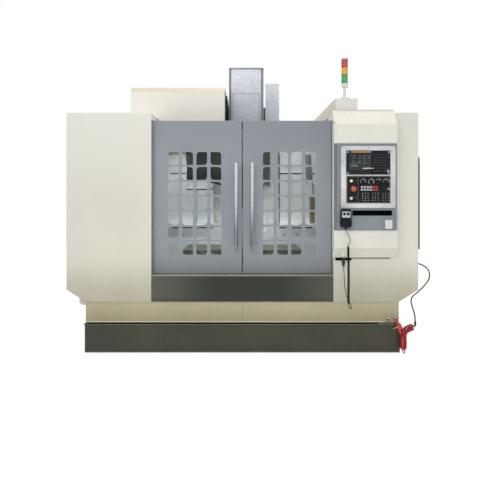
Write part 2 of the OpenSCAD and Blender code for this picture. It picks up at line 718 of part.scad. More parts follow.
// Head casting with nose, carriage, trucks, its Z cover leaf and the motor
module spindle_head() {
    bear = nose_d * 0.6;
    color([0.30, 0.32, 0.31]) {
        difference() {
            union() {
                yz(mid_x - head_hw, mid_x + head_hw)
                    polygon([[head_y, nose_z + 120], [head_y, carr_top - 10],
                        [carr_y, carr_top - 10], [carr_y, carr_bot + 40],
                        [carr_y - 110, carr_bot + 80], [spindle_y + 190, nose_z + 110],
                        [spindle_y + 90, nose_z + 110], [spindle_y - 80, nose_z + 110]]);
                bar_z(nose_z + 8, nose_z + 112, mid_x, spindle_y, nose_d, 64);
                bar_z(nose_z + 30, nose_z + 112, mid_x, spindle_y, nose_d + 36, 64);
            }
            bar_z(nose_z, nose_z + 90, mid_x, spindle_y, bear + 2 * run_gap, 64);
        }
        box(mid_x - cover_hw + sheet3, mid_x + cover_hw - sheet3, head_y + 40, 40,
            cover_bot + 10, carr_top - 10);
    }
    color([0.45, 0.47, 0.46]) {
        box(mid_x - z_rail_hx - 55, mid_x + z_rail_hx + 55, carr_y, carr_back, carr_bot, carr_top);
        for (s = [-1, 1]) for (z = [carr_bot + 50, carr_top - 150])
            difference() {
                box(mid_x + s * z_rail_hx - 48, mid_x + s * z_rail_hx + 48, carr_back,
                    col_y - 5, z, z + truck_l);
                box(mid_x + s * z_rail_hx - rail_w / 2 - run_gap,
                    mid_x + s * z_rail_hx + rail_w / 2 + run_gap,
                    col_y - 40 - run_gap, col_y, z - 1, z + truck_l + 1);
            }
        box(mid_x - zc_hw - 8, mid_x + zc_hw + 8, carr_back - sheet3, carr_back,
            carr_bot - 280, carr_bot);
    }
    color([0.16, 0.17, 0.18]) {
        box(mid_x - 100, mid_x + 100, spindle_y - 100, spindle_y + 100, carr_top - 10, motor_mid);
        bar_z(motor_mid, motor_top, mid_x, spindle_y, 180);
    }
}

// Sheet cover round the head: a front box, a wider rear box and the access plate
module head_cover() {
    t = sheet3;
    fy = head_y - 5;
    my = fy + 400;
    ry = carr_y - 55;
    color([0.76, 0.78, 0.82]) {
        difference() {
            union() {
                xy(cover_bot, cover_top)
                    polygon([[mid_x - cover_hw, my], [mid_x - cover_hw, fy + 14],
                        [mid_x - cover_hw + 14, fy], [mid_x + cover_hw - 14, fy],
                        [mid_x + cover_hw, fy + 14], [mid_x + cover_hw, my]]);
                box(mid_x - cover_hw2, mid_x + cover_hw2, my, ry, cover_bot, cover_top - 22);
            }
            box(mid_x - cover_hw + t, mid_x + cover_hw - t, fy + 16, my + t + 1,
                cover_bot - 1, cover_top - t);
            box(mid_x - cover_hw + 16, mid_x + cover_hw - 16, fy + t, fy + 17,
                cover_bot - 1, cover_top - t);
            box(mid_x - cover_hw2 + t, mid_x + cover_hw2 - t, my + t, ry + 1,
                cover_bot - 1, cover_top - 22 - t);
        }
        xz(fy - 2, fy) polygon(rounded(mid_x - 138, cover_bot + 14, mid_x + 135, 2497, [34, 34, 6, 6]));
    }
    color([0.35, 0.37, 0.38])
        for (k = [0:5])
            box(mid_x + cover_hw2, mid_x + cover_hw2 + 1.5, my + 40, ry - 30,
                cover_top - 120 - 30 * k, cover_top - 108 - 30 * k);
}

// Jointed coolant hoses on both sides of the nose
module coolant_nozzles() {
    color([0.07, 0.07, 0.08]) for (s = [-1, 1]) {
        p = [
            [mid_x + s * 112, head_y + 62, nose_z + 98], [mid_x + s * 118, head_y + 60, nose_z + 82],
            [mid_x + s * 124, head_y + 58, nose_z + 62], [mid_x + s * 122, head_y + 58, nose_z + 42],
            [mid_x + s * 112, head_y + 60, nose_z + 28], [mid_x + s * 97, head_y + 66, nose_z + 19]
        ];
        sweep(p, 20, 10);
    }
    color([0.75, 0.40, 0.10]) for (s = [-1, 1])
        bar_z(nose_z + 96, nose_z + 110, mid_x + s * 112, head_y + 62, 30);
}

// Rotating spindle with its 7:24 taper and two drive keys
module spindle() {
    bear = nose_d * 0.6;
    color([0.72, 0.73, 0.74]) difference() {
        union() {
            bar_z(nose_z, nose_z + 88, mid_x, spindle_y, bear, 64);
            for (s = [-1, 1])
                box(mid_x - 8, mid_x + 8, s > 0 ? spindle_y + 26 : spindle_y - 40,
                    s > 0 ? spindle_y + 40 : spindle_y - 26, nose_z - 5, nose_z);
        }
        translate([mid_x, spindle_y, nose_z]) rotate_extrude($fn = 64)
            polygon([[0, -1], [22.4, -1], [22.2, 0], [12.7, 65], [9, 65], [9, 80], [0, 80]]);
    }
}

// Casing of the magazine, open below, standing on the left roof
module magazine_cover() {
    t = sheet3;
    band = 47;
    in_x = -cab_in;
    color([0.95, 0.93, 0.89]) difference() {
        union() {
            yz(mag_x0, in_x) polygon([[mag_y0, guard_h], [mag_y0, mag_top - band],
                [mag_y0 + 60, mag_top], [mag_y1, mag_top], [mag_y1, guard_h]]);
            yz(in_x, mag_x1) polygon([[mag_y0, mag_low], [mag_y0, mag_top - band],
                [mag_y0 + 60, mag_top], [mag_y1, mag_top], [mag_y1, mag_low]]);
        }
        yz(mag_x0 + t, in_x + t) polygon([[mag_y0 + t, guard_h - 1], [mag_y0 + t, mag_top - band - t],
            [mag_y0 + 60 + t, mag_top - t], [mag_y1 - t, mag_top - t], [mag_y1 - t, guard_h - 1]]);
        yz(in_x + t, mag_x1 - t) polygon([[mag_y0 + t, mag_low - 1],
            [mag_y0 + t, mag_top - band - t], [mag_y0 + 60 + t, mag_top - t],
            [mag_y1 - t, mag_top - t], [mag_y1 - t, mag_low - 1]]);
        box(arm_x - 195, arm_x - 105, mag_y1 - t - 1, mag_y1 + 1, mag_z - 60, mag_z + 60);
    }
}

// Bracket from the column, magazine bearing, cam box and motors
module magazine_frame() {
    bx0 = hinge_x + 40;
    cx0 = arm_x - 85;
    color([0.30, 0.33, 0.33]) {
        box(bx0, bx0 + 20, mag_y - 100, mag_y + 240, mag_z - 100, mag_z + 240);
        box(bx0 + 20, cx0, mag_y - 90, mag_y + 90, mag_z - 90, mag_z + 90);
        box(bx0 + 20, bx0 + 80, mag_y + 90, col_y + 100, mag_z - 50, mag_z + 50);
        box(bx0 + 80, mid_x - col_hw, col_y + 10, col_y + 100, mag_z - 100, mag_z + 100);
        difference() {
            box(cx0, arm_x + 53, mag_y - 110, mag_y + 110, mag_z - 160, mag_z + 210);
            bar_z(mag_z - 161, mag_z + 60, arm_x, mag_y, arm_d + 2 * run_gap, 48);
        }
    }
    color([0.16, 0.17, 0.18]) {
        bar_z(mag_z + 210, mag_z + 340, arm_x - 10, mag_y, 110);
        bar_x(bx0 + 20, bx0 + 150, mag_y + 175, mag_z + 170, 110);
    }
}

// Disc with its pots; the lowest pot hangs on a hinge of its own
module pot_body(cx, cy, cz) {
    difference() {
        bar_x(cx - pot_l, cx, cy, cz, pot_d, 48);
        translate([cx - pot_l, cy, cz]) rotate([0, 90, 0]) rotate_extrude($fn = 48)
            polygon([[0, -1], [22.8, -1], [22.6, 0], [13.2, 65], [0, 65]]);
    }
}
module tool_magazine() {
    disc_x = hinge_x - 8;
    color([0.55, 0.57, 0.58]) {
        difference() {
            bar_x(disc_x, disc_x + 23, mag_y, mag_z, 2 * (pot_pr + 25), 96);
            for (a = [30:60:330])
                translate([disc_x - 1, mag_y + 170 * sin(a), mag_z + 170 * cos(a)])
                    rotate([0, 90, 0]) cylinder(h = 30, d = 110, $fn = 48);
        }
        bar_x(disc_x + 23, hinge_x + 40 - run_gap, mag_y, mag_z, 150);
        for (s = [-1, 1])
            difference() {
                box(disc_x, disc_x + 23, s > 0 ? mag_y + 12 : mag_y - 22,
                    s > 0 ? mag_y + 22 : mag_y - 12, hinge_z - 9, hinge_z + 30);
                bar_y(mag_y - 40, mag_y + 40, hinge_x, hinge_z, 10.6);
            }
    }
    color([0.88, 0.88, 0.85])
        for (k = [1:pot_n - 1])
            pot_body(disc_x, mag_y + pot_pr * sin(180 + 360 * k / pot_n),
                mag_z + pot_pr * cos(180 + 360 * k / pot_n));
}
module changing_pot() {
    px = hinge_x - 10;
    color([0.88, 0.88, 0.85]) {
        pot_body(px, mag_y, mag_z - pot_pr);
        box(px - 8, px, mag_y - 8, mag_y + 8, hinge_z - 5, mag_z - pot_pr - pot_d / 2 + 6);
        box(px - 8, hinge_x + 8, mag_y - 8, mag_y + 8, hinge_z - 8, hinge_z + 12);
    }
    color([0.35, 0.36, 0.38]) {
        bar_y(mag_y - 26, mag_y - 8, hinge_x, hinge_z, 10);
        bar_y(mag_y + 8, mag_y + 26, hinge_x, hinge_z, 10);
    }
}

// Shaft and two-ended arm of the tool changer
module arm_shaft() {
    color([0.70, 0.71, 0.72])
        bar_z(arm_top + run_gap, mag_z - 90, arm_x, mag_y, arm_d, 48);
}
module tool_arm() {
    color([0.42, 0.44, 0.46]) difference() {
        union() {
            bar_z(arm_top - arm_t, arm_top, arm_x, mag_y, 120, 48);
            xy(arm_top - arm_t + 8, arm_top - 6) translate([arm_x, mag_y]) {
                for (s = [0, 180]) rotate(s)
                    polygon([[-46, 0], [-34, arm_r - 70], [-52, arm_r - 30], [-52, arm_r + 34],
                        [-30, arm_r + 52], [40, arm_r + 8], [40, arm_r - 40], [30, arm_r - 90], [46, 0]]);
            }
        }
        for (s = [-1, 1]) {
            bar_z(arm_top - arm_t - 1, arm_top + 1, arm_x, mag_y + s * arm_r, 64, 48);
            translate([arm_x, mag_y + s * arm_r, arm_top - arm_t - 1]) rotate(s > 0 ? -20 : 160)
                translate([0, -26, 0]) cube([80, 52, arm_t + 2]);
        }
    }
}

// Control pendant: sloped head, straight front and undercut foot
module pendant_housing() {
    color([0.87, 0.86, 0.80]) {
        difference() {
            yz(pend_x, pend_x1) polygon([[front_y, guard_h + 20], [pend_y, pend_top],
                [pend_y, pend_bot], [front_y - 10, pend_bot - 95], [front_y, pend_bot - 95]]);
            box(pend_x + 148, pend_x1 - 44, pend_y - 1, pend_y + 78, panel_bot + 25, bez_z0 - 22);
            translate([pend_x - 1, pend_y - 1, pend_bot - 200]) rotate([0, 0, 0])
                linear_extrude(2000) polygon([[0, 0], [26, 0], [0, 26]]);
        }
        box(pend_x + 25, pend_x1, front_y - 4, front_y, guard_h - 20, guard_h + 27);
    }
    color([0.10, 0.10, 0.11]) {
        bar_z(800, 824, 914, -1196, 24);
        bar_z(824, pend_bot - 58, 914, -1196, 30);
        box(pend_x1, pend_x1 + 8, pend_y + 20, pend_y + 60, 1215, 1280);
    }
}
module pendant_panel() {
    color([0.56, 0.59, 0.61]) {
        difference() {
            xz(panel_y, pend_y) polygon(round4(pend_x + 26, panel_bot, pend_x1 - 4, panel_top, 6));
            box(pend_x + 156, pend_x1 - 50, panel_y - 1, pend_y + 1, 1257, 1305);
        }
        box(mpg_x - 22, mpg_x + 22, mpg_y, panel_y, mpg_z0 + mpg_h - 36, mpg_z0 + mpg_h - 4);
        box(mpg_x - 22, mpg_x + 22, mpg_y - 6, mpg_y, mpg_z0 + mpg_h + run_gap, mpg_z0 + mpg_h + 8);
        box(mpg_x - 22, mpg_x + 22, mpg_y, panel_y, mpg_z0 + mpg_h - 4, mpg_z0 + mpg_h + 8);
    }
    color([0.85, 0.85, 0.88])
        xz(panel_y - 14, panel_y) polygon(round4(pend_x1 - 120, 1138, pend_x1 - 50, 1224, 8));
}
module panel_bezel() {
    color([0.84, 0.82, 0.85]) difference() {
        xz(unit_y, panel_y) polygon(round4(bez_x0, bez_z0, bez_x1, bez_z1, 5));
        box(unit_x, unit_x + unit_w, unit_y - 1, panel_y + 1, disp_z, disp_z + disp_h);
        box(unit_x, unit_x + unit_w, unit_y - 1, panel_y + 1, oper_z, oper_z + oper_h);
    }
}

// Bore and collar that guide a push button
module button_bore(x, z, d) {
    bar_y(face_y - 1, face_y + 7, x, z, d + 2 * run_gap, 48);
}
module button_collar(x, z, d, rim, h) {
    difference() {
        bar_y(face_y - h, face_y, x, z, d + 2 * run_gap + rim, 48);
        bar_y(face_y - h - 1, face_y + 1, x, z, d + 2 * run_gap, 48);
    }
}

// Block of keys, nx by nz, from its lower left corner
module keys(x0, z0, nx, nz, px, pz, kw, kh) {
    for (i = [0:nx - 1]) for (j = [0:nz - 1])
        box(x0 + i * px, x0 + i * px + kw, face_y - 3, face_y, z0 + j * pz, z0 + j * pz + kh);
}
module control_units() {
    u = unit_x;
    difference() {
        color([0.16, 0.16, 0.18]) union() {
            box(u, u + unit_w, face_y, panel_y, disp_z, disp_z + disp_h);
            box(u, u + unit_w, face_y, panel_y, oper_z, oper_z + oper_h);
        }
        box(u + 22, u + 222, face_y - 1, face_y + 3, disp_z + 32, disp_z + disp_h - 26);
        button_bore(stop_x, stop_z, estop_d * 0.55);
        for (z = btn_zs) button_bore(btn_x, z, btn_d);
    }
    color([0.80, 0.80, 0.82]) {
        button_collar(stop_x, stop_z, estop_d * 0.55, 24, 6);
        for (z = btn_zs) button_collar(btn_x, z, btn_d, 8, 3);
    }
    color([0.30, 0.31, 0.34]) {
        keys(u + 240, disp_z + 22, 6, 7, 24, 24, 18, 16);
        keys(u + 26, disp_z + 8, 7, 1, 28, 24, 20, 14);
        keys(u + 128, oper_z + 112, 9, 2, 26, 24, 20, 16);
        for (k = [0:2]) keys(u + 134 + 90 * k, oper_z + 18, 3, 4, 24, 21, 18, 15);
    }
}

// Turning switch: skirt and grip bar, facing the operator
module rotary(x, z) {
    color([0.12, 0.12, 0.13]) {
        bar_y(face_y - 10 - run_gap, face_y - run_gap, x, z, knob_d, 48);
        bar_y(face_y - 22, face_y - 10 - run_gap, x, z, knob_d * 0.7, 48);
        box(x - 4, x + 4, face_y - 30, face_y - 22, z - knob_d * 0.33, z + knob_d * 0.33);
    }
}
module mode_knob() { rotary(unit_x + 150, knob_z); }
module feed_knob() { rotary(unit_x + 221, knob_z); }
module rapid_knob() { rotary(unit_x + 287, knob_z); }
module spindle_speed_knob() { rotary(unit_x + 353, knob_z); }

module e_stop() {
    color([0.88, 0.22, 0.12]) {
        bar_y(face_y - 14, face_y - 1, stop_x, stop_z, estop_d * 0.55, 48);
        bar_y(face_y - 27, face_y - 14, stop_x, stop_z, estop_d, 64);
    }
}
module push_button(z) {
    bar_y(face_y - 8, face_y - 1, btn_x, z, btn_d, 48);
}
module power_button() { color([0.93, 0.93, 0.92]) push_button(btn_zs[1]); }
module start_button() { color([0.93, 0.93, 0.92]) push_button(btn_zs[0]); }

// Handwheel box on its hook, its dial and two selector knobs
module mpg_body() {
    fy = mpg_y - mpg_t;
    color([0.10, 0.10, 0.11]) {
        xz(fy, mpg_y) polygon(round4(mpg_x - 44, mpg_z0 + 52, mpg_x + 44, mpg_z0 + mpg_h, 16));
        bar_y(fy, mpg_y, mpg_x, dial_z, 2 * (dial_z - mpg_z0), 64);
        bar_z(mpg_z0 - 11, mpg_z0 + 6, mpg_x, mpg_y - mpg_t / 2, 18);
    }
    color([0.92, 0.92, 0.93]) difference() {
        xz(fy - 1.5, fy) polygon(round4(mpg_x - 36, dial_z + 40, mpg_x + 36, mpg_z0 + mpg_h - 26, 8));
        bar_y(fy - 3, fy + 1, mpg_x, dial_z, dial_d + 10, 64);
    }
}
module mpg_dial() {
    fy = mpg_y - mpg_t - run_gap;
    color([0.15, 0.15, 0.16]) {
        bar_y(fy - 12, fy, mpg_x, dial_z, dial_d, 64);
        bar_y(fy - 15, fy - 12, mpg_x, dial_z, dial_d * 0.7, 64);
        bar_y(fy - 26, fy - 15, mpg_x + dial_d * 0.24, dial_z, 10);
    }
}
module mpg_knob(dx) {
    fy = mpg_y - mpg_t - 1.5 - run_gap;
    color([0.12, 0.12, 0.13]) {
        bar_y(fy - 12, fy, mpg_x + dx, dial_z + 74, 22, 40);
        box(mpg_x + dx - 2, mpg_x + dx + 2, fy - 15, fy - 12, dial_z + 66, dial_z + 82);
    }
}
module mpg_axis_knob() { mpg_knob(-17); }
module mpg_range_knob() { mpg_knob(17); }
module mpg_cable() {
    color([0.10, 0.10, 0.10]) {
        sweep(lead_a, 8, 8);
        sweep(lead_b, 8, 8);
    }
}
module mpg_coil() {
    color([0.08, 0.08, 0.08]) sweep(curl_pts, 22, 12);
}

// Blow gun hung on the right bolt, its hose coil and the supply tube
module air_gun() {
    gy = apron_y - 40;
    color([0.80, 0.14, 0.10]) {
        translate([1390, gy, 322 + run_gap - 8]) rotate([90, 0, 0])
            rotate_extrude($fn = 40) translate([12, 0]) circle(d = 8, $fn = 20);
        translate([1394, gy, 300]) rotate([0, 155, 0]) {
            cylinder(h = 46, d = 18, $fn = 40);
            translate([-20, -13, 40]) cube([40, 26, 62]);
            translate([0, 0, 100]) cylinder(h = 16, d = 24, $fn = 40);
        }
    }
    color([0.75, 0.76, 0.78])
        translate([1394, gy, 300]) rotate([0, 155, 0]) {
            translate([14, 0, 52]) rotate([0, 90, 0]) cylinder(h = 44, d = 10, $fn = 32);
            translate([-26, -7, 34]) cube([6, 14, 68]);
        }
}
module air_coil() {
    color([0.66, 0.05, 0.06]) sweep(coil_pts, 58, 12);
}
module air_tube() {
    color([0.32, 0.22, 0.20]) sweep(air_pts, 13, 8);
}

// Cable duct across the right roof and the signal tower on it
module cable_raceway() {
    color([0.86, 0.85, 0.80]) {
        box(race_x, race_x + 216, front_y + 8, 360, guard_h, guard_h + 27);
        difference() {
            box(race_x, race_x + 202, front_y + 8, 360, guard_h + 27, guard_h + 132);
            box(race_x + 4, race_x + 198, front_y + 60, 361, guard_h + 28, guard_h + 128);
        }
        for (y = [-800, -400, 0])
            box(race_x + 202, race_x + 204, y, y + 3, guard_h + 27, guard_h + 132);
    }
}
module signal_tower() {
    x = race_x + 94;
    y = front_y + 62;
    z = guard_h + 132;
    color([0.85, 0.85, 0.86]) {
        bar_z(z, z + 12, x, y, 84, 48);
        bar_z(z + 12, z + 110, x, y, 24, 40);
        bar_z(z + 110, z + 150, x, y, 60, 48);
    }
    color([0.12, 0.62, 0.32]) bar_z(z + 150, z + 222, x, y, 58, 48);
    color([0.93, 0.70, 0.12]) bar_z(z + 222, z + 294, x, y, 58, 48);
    color([0.80, 0.12, 0.10]) bar_z(z + 294, z + 366, x, y, 58, 48);
    color([0.85, 0.85, 0.86]) bar_z(z + 366, z + 378, x, y, 60, 48);
}
module chain_housing() {
    x0 = mid_x + cover_hw2 + 32;
    color([0.50, 0.52, 0.53])
        difference() {
            box(x0, x0 + 158, 60, col_y, carr_top + 10, cover_top - 59);
            box(x0 + 3, x0 + 155, 63, col_y - 3, carr_top + 9, cover_top - 62);
        }
}

// Lubricator under the left chamfer
module lubricator() {
    color([0.90, 0.90, 0.84]) {
        xz(-1090, -940)
            polygon([[-apron_hw, 424], [-apron_hw, 466], [-apron_hw - 66, 500],
                [-apron_hw - 78, 496], [-apron_hw - 78, 448], [-apron_hw - 60, 428]]);
        bar_z(416, 430, -apron_hw - 30, -1015, 30);
    }
}

// Electrical cabinet behind the column, with drives and the cable gland
module electrical_cabinet() {
    t = 3;
    y1 = elec_y1 - 20 - run_gap;
    z1 = elec_bot + elec_h;
    color([0.87, 0.86, 0.80]) {
        difference() {
            box(elec_x0, elec_x1, elec_y0, y1, elec_bot, z1);
            box(elec_x0 + t, elec_x1 - t, elec_y0 + t, y1 + 1, elec_bot + t, z1 - t);
            bar_z(z1 - t - 1, z1 + 1, elec_x1 - 120, elec_y0 + 110, 42);
        }
        difference() {
            bar_z(z1, z1 + 30, elec_x1 - 120, elec_y0 + 110, 64, 48);
            bar_z(z1 - 1, z1 + 31, elec_x1 - 120, elec_y0 + 110, 42, 48);
        }
        for (z = [elec_bot + 200, elec_bot + elec_h - 260])
            hinge_post(z);
    }
    color([0.70, 0.72, 0.70]) {
        box(elec_x0 + 40, elec_x1 - 40, elec_y0 + t, elec_y0 + t + 20, elec_bot + 40, z1 - 40);
        for (k = [0:3])
            box(elec_x0 + 80 + 160 * k, elec_x0 + 200 + 160 * k, elec_y0 + 23, elec_y0 + 200,
                z1 - 520, z1 - 150);
        for (k = [0:2])
            box(elec_x0 + 80, elec_x1 - 120, elec_y0 + 23, elec_y0 + 60,
                elec_bot + 150 + 200 * k, elec_bot + 190 + 200 * k);
        box(elec_x1 - 420, elec_x1 - 140, elec_y0 + 23, elec_y0 + 180,
            elec_bot + elec_h - 520, elec_bot + elec_h - 260);
    }
}
module hinge_post(z) {
    ax = elec_x0 - 6;
    ay = elec_y1 - 10;
    box(ax - 8, ax + 6, ay - 30, ay + 1, z - 30, z);
    bar_z(z, z + 60, ax, ay, 10);
}
module cabinet_door() {
    ax = elec_x0 - 6;
    ay = elec_y1 - 10;
    color([0.87, 0.86, 0.80]) {
        box(elec_x0 + 1, elec_x1, elec_y1 - 20, elec_y1, elec_bot, elec_bot + elec_h);
        for (z = [elec_bot + 200, elec_bot + elec_h - 260])
            difference() {
                union() {
                    bar_z(z + run_gap, z + 60, ax, ay, 16);
                    box(ax, elec_x0 + 3, ay - 4, ay + 4, z + run_gap, z + 60);
                }
                bar_z(z - 1, z + 61, ax, ay, 10.6);
            }
    }
    color([0.25, 0.26, 0.28])
        for (z = [elec_bot + 500, elec_bot + elec_h - 500])
            box(elec_x1 - 60, elec_x1 - 30, elec_y1, elec_y1 + 8, z, z + 90);
}
module main_switch() {
    x = elec_x1 - 150;
    z = elec_bot + elec_h - 420;
    color([0.80, 0.12, 0.10]) {
        bar_y(elec_y1 + run_gap, elec_y1 + 14, x, z, 64, 48);
        box(x - 8, x + 8, elec_y1 + 14, elec_y1 + 34, z - 30, z + 30);
    }
}

// One door leaf: folded skin with its rows of rounded openings
module leaf() {
    out = door_out;
    in_x = door_gap / 2;
    m = 34;
    difference() {
        box(in_x, out, door_y, door_y + door_t, door_bot, door_top);
        box(in_x + m, out - m, door_y + door_skin, door_y + door_t + 1, door_bot + m, door_top - m);
    }
}
module hole_cut(mir) {
    for (i = [0:hole_cols - 1]) for (j = [0:hole_rows - 1]) {
        x = hole_x0 + (mir ? hole_shift : 0) + i * hole_px;
        z1 = hole_top - j * hole_pz;
        odd = (mir ? hole_cols - 1 - i : i) % 2 == 0;
        a = odd ? hole_r : hole_rr;
        b = odd ? hole_rr : hole_r;
        xz(door_y - 1, door_y + door_skin + 1)
            polygon(mir ? rounded(-x - hole_w, z1 - hole_h, -x, z1, [a, b, a, b])
                : rounded(x, z1 - hole_h, x + hole_w, z1, [a, b, a, b]));
    }
}
module left_door() {
    color([0.57, 0.60, 0.64]) difference() {
        mirror([1, 0, 0]) leaf();
        hole_cut(true);
    }
}
module right_door() {
    color([0.57, 0.60, 0.64]) difference() {
        leaf();
        hole_cut(false);
    }
}
module pane() {
    x1 = hole_x0 + (hole_cols - 1) * hole_px + hole_w + 40;
    z0 = hole_top - (hole_rows - 1) * hole_pz - hole_h - 40;
    box(hole_x0 - 40, x1, door_y + door_skin, door_y + door_skin + pane_t, z0, hole_top + 40);
}
module left_window() { color([0.80, 0.88, 0.88, 0.35]) mirror([1, 0, 0]) pane(); }
module right_window() { color([0.80, 0.88, 0.88, 0.35]) pane(); }
module handle(x) {
    color([0.84, 0.85, 0.86]) {
        bar_z(handle_bot, handle_top, x, door_y - handle_off, handle_d, 48);
        for (z = [handle_bot + 60, handle_top - 60])
            bar_y(door_y - handle_off, door_y, x, z, 18, 40);
    }
}
module left_handle() { handle(-58); }
module right_handle() { handle(91); }

bed();
column();
coolant_tank();
left_cabinet();
right_cabinet();
front_apron();
door_frame();
inner_walls();
magazine_cover();
magazine_frame();
pendant_housing();
pendant_panel();
panel_bezel();
control_units();
cable_raceway();
signal_tower();
electrical_cabinet();
lubricator();
chain_housing();
mpg_body();
mpg_cable();
mpg_coil();
air_gun();
air_tube();
air_coil();
left_door();
left_window();
left_handle();
right_door();
right_window();
right_handle();
saddle();
y_covers();
y_mid_cover_a();
y_mid_cover_b();
table();
x_covers();
x_mid_covers();
z_mid_cover();
spindle_head();
head_cover();
coolant_nozzles();
spindle();
tool_magazine();
changing_pot();
arm_shaft();
tool_arm();
e_stop();
power_button();
start_button();
mode_knob();
feed_knob();
rapid_knob();
spindle_speed_knob();
mpg_dial();
mpg_axis_knob();
mpg_range_knob();
cabinet_door();
main_switch();
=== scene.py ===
"""Looks of the vertical machining centre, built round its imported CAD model.

Sizes in the calls below are millimetres in the model's own frame; Shape.made
turns them into metres. Front is -Y, right is +X, the floor is Z = 0.
"""

import random
from itertools import product
from math import cos, radians, sin, tau

import bmesh
import bpy
from mathutils import Matrix, Vector


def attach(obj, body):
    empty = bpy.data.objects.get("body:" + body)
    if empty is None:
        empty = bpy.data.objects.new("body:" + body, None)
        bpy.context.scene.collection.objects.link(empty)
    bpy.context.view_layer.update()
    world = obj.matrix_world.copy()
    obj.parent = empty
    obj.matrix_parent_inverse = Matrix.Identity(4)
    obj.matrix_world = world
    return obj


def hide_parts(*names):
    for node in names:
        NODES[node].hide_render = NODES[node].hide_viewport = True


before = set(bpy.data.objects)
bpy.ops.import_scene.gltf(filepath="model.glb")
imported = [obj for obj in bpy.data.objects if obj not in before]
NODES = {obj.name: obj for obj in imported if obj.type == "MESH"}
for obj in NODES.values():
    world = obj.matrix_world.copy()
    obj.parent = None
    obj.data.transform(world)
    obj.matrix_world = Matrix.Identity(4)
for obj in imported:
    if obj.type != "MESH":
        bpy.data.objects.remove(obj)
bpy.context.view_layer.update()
MM = 0.001
SIDES = (-1, 1)
WASHER = 0.9  # thickness of the washer under a bolt head
SOFTEN_OVER = 0.5  # radians between faces from which an edge is softened
SMOOTH_BELOW = radians(34)  # angle between faces up to which they shade as one
WELD = 0.0005  # distance under which points of a spun profile are one
UP, DOWN, LEFT, RIGHT = (0, 0, 1), (0, 0, -1), (-1, 0, 0), (1, 0, 0)
FORE, AFT = (0, -1, 0), (0, 1, 0)


# ---- shaders
class Value:
    """A shader socket that takes part in Python arithmetic."""

    def __init__(self, tree, socket):
        self.tree, self.socket = tree, socket

    def _math(self, operation, first, second=None):
        node = self.tree.nodes.new("ShaderNodeMath")
        node.operation = operation
        for slot, value in zip(node.inputs, (first, second)):
            plug(self.tree, slot, value)
        return Value(self.tree, node.outputs[0])

    def __rsub__(self, other):
        return self._math("SUBTRACT", other, self)

    def __abs__(self):
        return self._math("ABSOLUTE", self)


def _operator(operation):
    return lambda left, right: left._math(operation, left, right)


for sign, operation in (
    ("add", "ADD"), ("sub", "SUBTRACT"), ("mul", "MULTIPLY"), ("truediv", "DIVIDE"),
    ("gt", "GREATER_THAN"), ("lt", "LESS_THAN"), ("mod", "FLOORED_MODULO"),
):
    setattr(Value, f"__{sign}__", _operator(operation))


def plug(tree, slot, value):
    """Links a socket to an input, or sets its number or colour."""
    if isinstance(value, str):
        value = linear(value)
    if value is None:
        return
    if isinstance(value, Value):
        tree.links.new(value.socket, slot)
    elif isinstance(value, (tuple, list)) and len(value) == 3 and len(slot.default_value) == 4:
        slot.default_value = (*value, 1)
    else:
        slot.default_value = value


def linear(code):
    """Scene colour of a six-digit screen colour."""
    parts = [int(code[i : i + 2], 16) / 255 for i in (0, 2, 4)]
    return tuple(c / 12.92 if c <= 0.04045 else ((c + 0.055) / 1.055) ** 2.4 for c in parts)


